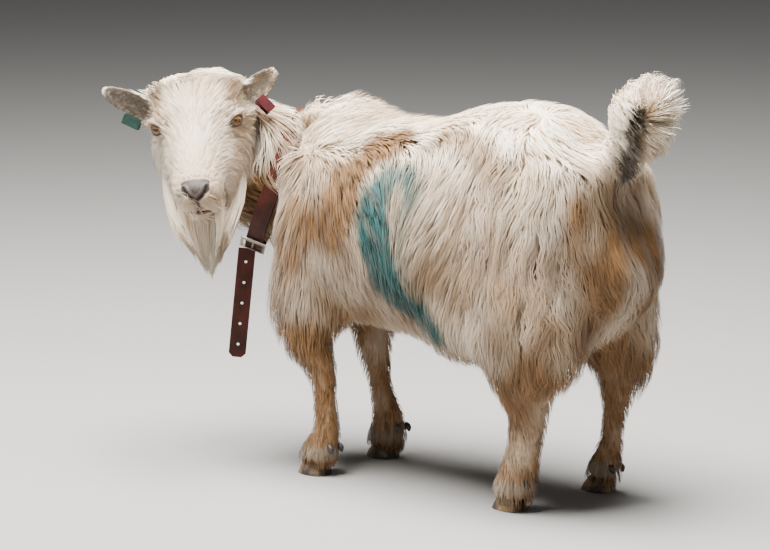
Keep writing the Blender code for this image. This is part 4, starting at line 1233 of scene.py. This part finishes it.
def strap():
    """The collar's band: a rounded strap round the oval of the neck, creased along both edges."""
    left = unit(np.cross((0, 0, 1), COLLAR_AXIS))
    nape = np.cross(COLLAR_AXIS, left)
    edge = [(-0.0125, -0.0022), (-0.0125, -0.0002), (-0.0118, 0.0005), (-0.0102, 0.0005)]
    edge += [(-0.0095, 0.0001), (-0.0088, 0.0005)]
    profile = edge + [(0.0, 0.0007)] + [(-z, out) for z, out in edge[::-1]]
    profile += [(0.0118, -0.0030), (-0.0118, -0.0030)]
    z, out = np.array(profile).T[:, None, :]
    turn = np.arange(STRAP_SIDES)[:, None] * 2 * math.pi / STRAP_SIDES
    oval = vector((COLLAR_SIDE + out) * np.cos(turn), (COLLAR_HEIGHT + out) * np.sin(turn), z)
    points = COLLAR_CENTRE + oval @ np.array((left, nape, COLLAR_AXIS))
    count = len(profile)
    ring = np.arange(STRAP_SIDES)[:, None] * count
    step, after = np.arange(count), (np.arange(count) + 1) % count
    next_ring = (ring + count) % (STRAP_SIDES * count)
    faces = np.stack([ring + step, ring + after, next_ring + after, next_ring + step], -1).reshape(-1, 4)
    mesh = rounded("strap", points.reshape(-1, 3), faces)
    piece("strap", mesh, leather_look, ["collar_strap"])


def bud(node, solid):
    """A dewclaw: a blunt cone of horn that points down and back, half hidden in the hair."""
    corners = np.array(solid.bound_box)
    middle = (corners.min(0) + corners.max(0)) / 2 - ORIGIN
    points, faces = ball(0.0, 1.0)
    slim = 1 - 0.35 * ramp(-points[:, 2], -0.2, 1.0)
    points = points * BUD_RADII * vector(slim, slim, 1)
    points[:, 1] -= 0.35 * points[:, 2]
    mesh = rounded(node, middle + (0, -0.0050, -0.001) + points, faces)
    piece(node.replace("dewclaw", "bud"), mesh, bud_horn, [node])


LOOKS = {
    "collar_end": leather_look,
    "collar_buckle": steel_look,
    "ear_tag_left": plastic("red_tag", srgb(36, 0, 3), srgb(70, 3, 8)),
    "ear_tag_right": plastic("teal_tag", srgb(20, 40, 36), srgb(42, 68, 60)),
}
for node, obj in frame["nodes"].items():
    if node.startswith("hoof_"):
        LOOKS[node] = fore_horn if "fore" in node else hind_horn
        eased(obj, 0.0012)
    elif node in LOOKS and node != "collar_buckle":
        eased(obj, 0.0006)
    if node in LOOKS:
        obj.data.materials.clear()
        obj.data.materials.append(LOOKS[node])
strap()
for node in sorted(SLOTS):
    if node.startswith("dewclaw_"):
        bud(node, frame["nodes"][node])
for label, side in SIDES.items():
    eye(label, side)

# Coat


def around(p, point, axis, facing):
    """The skin unrolled about an axis: the turn from the facing side, and the way along."""
    axis = unit(np.array(axis, float))
    facing = np.array(facing, float)
    facing = unit(facing - axis * facing.dot(axis))
    r = p - point
    return np.stack([np.arctan2(r @ np.cross(axis, facing), r @ facing), r @ axis], 1)


def sheet_of(flat):
    """The unrolled places, fitted to the square of the map."""
    low, high = flat.min(0), flat.max(0)
    return 0.01 + 0.975 * (flat - low) / (high - low)


def region(
    name, weight, count, rings, size, wave, unroll, curl=0.0045,
    low=0.66, spread=0.40, stout=1.0, reach=1.0, gather=0.6,
):
    """One piece of coat. Size is the tufts in a lock, and unroll lays the roots out for the map."""
    roots = scatter(weight, count)
    roots = roots[nose_at(roots) < MOST_BARE]
    lines, outs, width, length = grow(roots, rings, low, spread, reach)
    lines, shade, own = clump(lines, outs, length, size, wave, curl, gather)
    settled = (on_head(roots) + on_ear(roots) > 0.5)[:, None]
    places = np.where(settled, roots, lines[:, (rings + 1) // 2])
    tufts(name, lines, outs, shade, width * stout, own, sheet_of(unroll(roots)), places)


def body_weight(p):
    return (1 - on_head(p)) * (1 - on_ear(p)) * (1 - on_tail(p)) * ramp(p[:, 2], 0.185, 0.205)


def neck_weight(p):
    """Neck hair, thicker just ahead of the collar that it hangs over, and none beneath the strap."""
    ahead = (p - COLLAR_CENTRE) @ COLLAR_AXIS
    thick = 1 + 2.5 * ramp(ahead, 0.010, 0.018) * ramp(p[:, 2], 0.36, 0.40) * (p[:, 0] > 0)
    return under_neck_weight(p) * thick * (np.abs(ahead) > 0.013)


def under_neck_weight(p):
    return body_weight(p) * (p[:, 1] < SHOULDER_FRONT)


def neck_sheet(p):
    return around(p, (0.05, -0.3, 0.42), (0.5, -0.7, 0.35), (0.7, 0.6, 0))


def tail_sheet(p):
    return around(p, TAIL_ROOT, TAIL_TIP - TAIL_ROOT, (0, -1, 1))


def head_weight(p):
    """Face hair, denser on the muzzle."""
    return on_head(p) * (1 - on_ear(p)) * (1 + 1.5 * bump(to_head(p), (0, -0.09, 0), (0.06, 0.05, 0.06)))


def face_sheet(p):
    return around(to_head(p), (0, 0, -0.02), (0, -1, 0), (0, 0, 1))


def ear_sheet(p):
    """The ears laid flat, with their outer parts beside their roots."""
    x, y, z = to_head(p).T
    return np.stack([x + 0.25 * (y > 0.06), z + y], 1)


def leg_weight(p):
    return ramp(p[:, 2], 0.215, 0.185) * ramp(p[:, 2], 0.016, 0.024)


def leg_sheet(p):
    """Four unrolled legs side by side."""
    flat = np.zeros((len(p), 2))
    for column, (side, fore) in enumerate(((1, True), (1, False), (-1, True), (-1, False))):
        own = (side * p[:, 0] > 0) & ((p[:, 1] < 0.05) == fore)
        x, y, _ = p[own].mean(0)
        flat[own] = around(p[own], (x, y, 0), (0, 0, 1), (side, 0, 0)) / (7.0, 1.0) + (column, 0)
    return flat


for label, side in SIDES.items():
    def trunk_sheet(p, side=side):
        return around(p, (0, 0, 0.38), (0, 1, 0), (side, 0, 0))

    for part, (low, high, count, rings, size, wave, curl, gather) in TRUNK.items():
        def here(p, side=side, low=low, high=high):
            return body_weight(p) * (side * p[:, 0] >= 0) * (p[:, 1] >= low) * (p[:, 1] < high)

        region(f"coat_{part}_{label}", here, count, rings, size, wave, trunk_sheet, curl, gather=gather)
        region(f"under_{part}_{label}", here, 750, 3, 8, wave, trunk_sheet, curl, **UNDER)
region("coat_neck", neck_weight, 6300, 3, 14, 0.0003, neck_sheet)
region("under_neck", under_neck_weight, 700, 3, 8, 0.0003, neck_sheet, **UNDER)
region("coat_tail", on_tail, 2500, 4, 9, 0.0006, tail_sheet)
for label, side in SIDES.items():
    def half_head(p, side=side):
        return head_weight(p) * (side * to_head(p)[:, 0] >= 0)

    region(f"coat_face_{label}", half_head, 7500, 3, 7, 0.0, face_sheet)
region("coat_ears", on_ear, 4500, 2, 6, 0.0, ear_sheet)
region("coat_legs", leg_weight, 7000, 3, 6, 0.0, leg_sheet)


def beard(name, count, thick, locks):
    """Hair of the chin and jaw, gathered to a point."""
    def weight(p):
        _, y, z = to_head(p).T
        return on_head(p) * ramp(z, -0.034, -0.056) * ramp(y, -0.112, -0.098) * ramp(y, 0.03, 0.0)

    roots = scatter(weight, count)
    q = to_head(roots)
    _, normal, _ = ground.at(roots)
    wide = np.clip(np.abs(q[:, 0]) / 0.05, 0, 1)
    short = np.maximum(wide, ramp(q[:, 1], -0.04, 0.02)) * RNG.uniform(0.3, 1.0, len(roots))
    front = from_head(np.array((0, -0.105, -0.06)))
    top = front + (0, 0, -0.01)
    ends = BEARD_TIP + (top - BEARD_TIP) * (0.72 * short + 0.20 * RNG.random(len(roots)) ** 2)[:, None]
    ends = ends + np.outer(q[:, 0] * (0.12 + 0.62 * short), HEAD_TURN[:, 0])
    ends = ends + RNG.normal(size=ends.shape) * 0.0028
    rings = 6
    t = np.linspace(0, 1, rings + 1)[None, :, None]
    reach = np.linalg.norm(ends - roots, axis=1, keepdims=True)
    bend = roots + (0, 0, -0.42) * reach + normal * 0.010
    start = roots - normal * ROOT_SINK
    lines = start[:, None] * (1 - t) ** 2 + bend[:, None] * 2 * t * (1 - t) + ends[:, None] * t ** 2
    middle = front + (BEARD_TIP - front) * t
    ahead = unit(-HEAD_TURN[:, 1] * (1, 1, 0))
    outs = unit(0.4 * normal[:, None] * (1 - t) + (lines - middle) / 0.022 * t + ahead + (0, 0, 0.55))
    length = np.linalg.norm(np.diff(lines, axis=1), axis=2).sum(1)
    lines, shade, own = clump(lines, outs, length, locks, 0.0006, 0.008)
    width = np.full(len(roots), thick)
    tufts(name, lines, outs, shade, width, own, sheet_of(face_sheet(roots)), roots)


beard("coat_beard", 2500, 0.0013, 60)
beard("under_beard", 420, 0.0042, 4)

# Studio

floor_mesh = bpy.data.meshes.new("floor")
corners = [(x * FLOOR_HALF, y * FLOOR_HALF, 0) for x, y in ((-1, -1), (1, -1), (1, 1), (-1, 1))]
floor_mesh.from_pydata(corners, [], [(0, 1, 2, 3)])
floor = bpy.data.objects.new("floor", floor_mesh)
bpy.context.scene.collection.objects.link(floor)
floor_mesh.materials.append(principled("paper", Roughness=0.8, Base_Color=(0.30, 0.296, 0.288, 1))[0])

world = bpy.context.scene.world or bpy.data.worlds.new("studio")
bpy.context.scene.world = world
world.use_nodes = True
world.node_tree.nodes["Background"].inputs["Color"].default_value = (0.95, 0.97, 1.0, 1)
world.node_tree.nodes["Background"].inputs["Strength"].default_value = 0.13


def soft_light(name, place, target, size, power, colour):
    """A square area light aimed at a point."""
    data = bpy.data.lights.new(name, "AREA")
    data.size, data.energy, data.color = size, power, colour
    obj = bpy.data.objects.new(name, data)
    bpy.context.scene.collection.objects.link(obj)
    obj.location = place
    obj.rotation_euler = (Vector(target) - Vector(place)).to_track_quat("-Z", "Y").to_euler()


soft_light("sky", (0.5, -0.2, 3.0), (0, 0, 0.3), 2.4, 740, (1.0, 0.975, 0.94))
soft_light("side", (3.4, 1.2, 1.8), (0, 0, 0.3), 2.0, 7, (1.0, 0.96, 0.91))

camera_data = bpy.data.cameras.new("camera")
camera_data.sensor_width, camera_data.lens = CAMERA_SENSOR, CAMERA_LENS
camera = bpy.data.objects.new("camera", camera_data)
bpy.context.scene.collection.objects.link(camera)
bpy.context.scene.camera = camera
back = Vector((
    math.sin(CAMERA_TURN) * math.cos(CAMERA_RISE),
    -math.cos(CAMERA_TURN) * math.cos(CAMERA_RISE),
    math.sin(CAMERA_RISE),
))
camera.location = CAMERA_TARGET + back * CAMERA_AWAY
camera.rotation_euler = (-back).to_track_quat("-Z", "Y").to_euler()
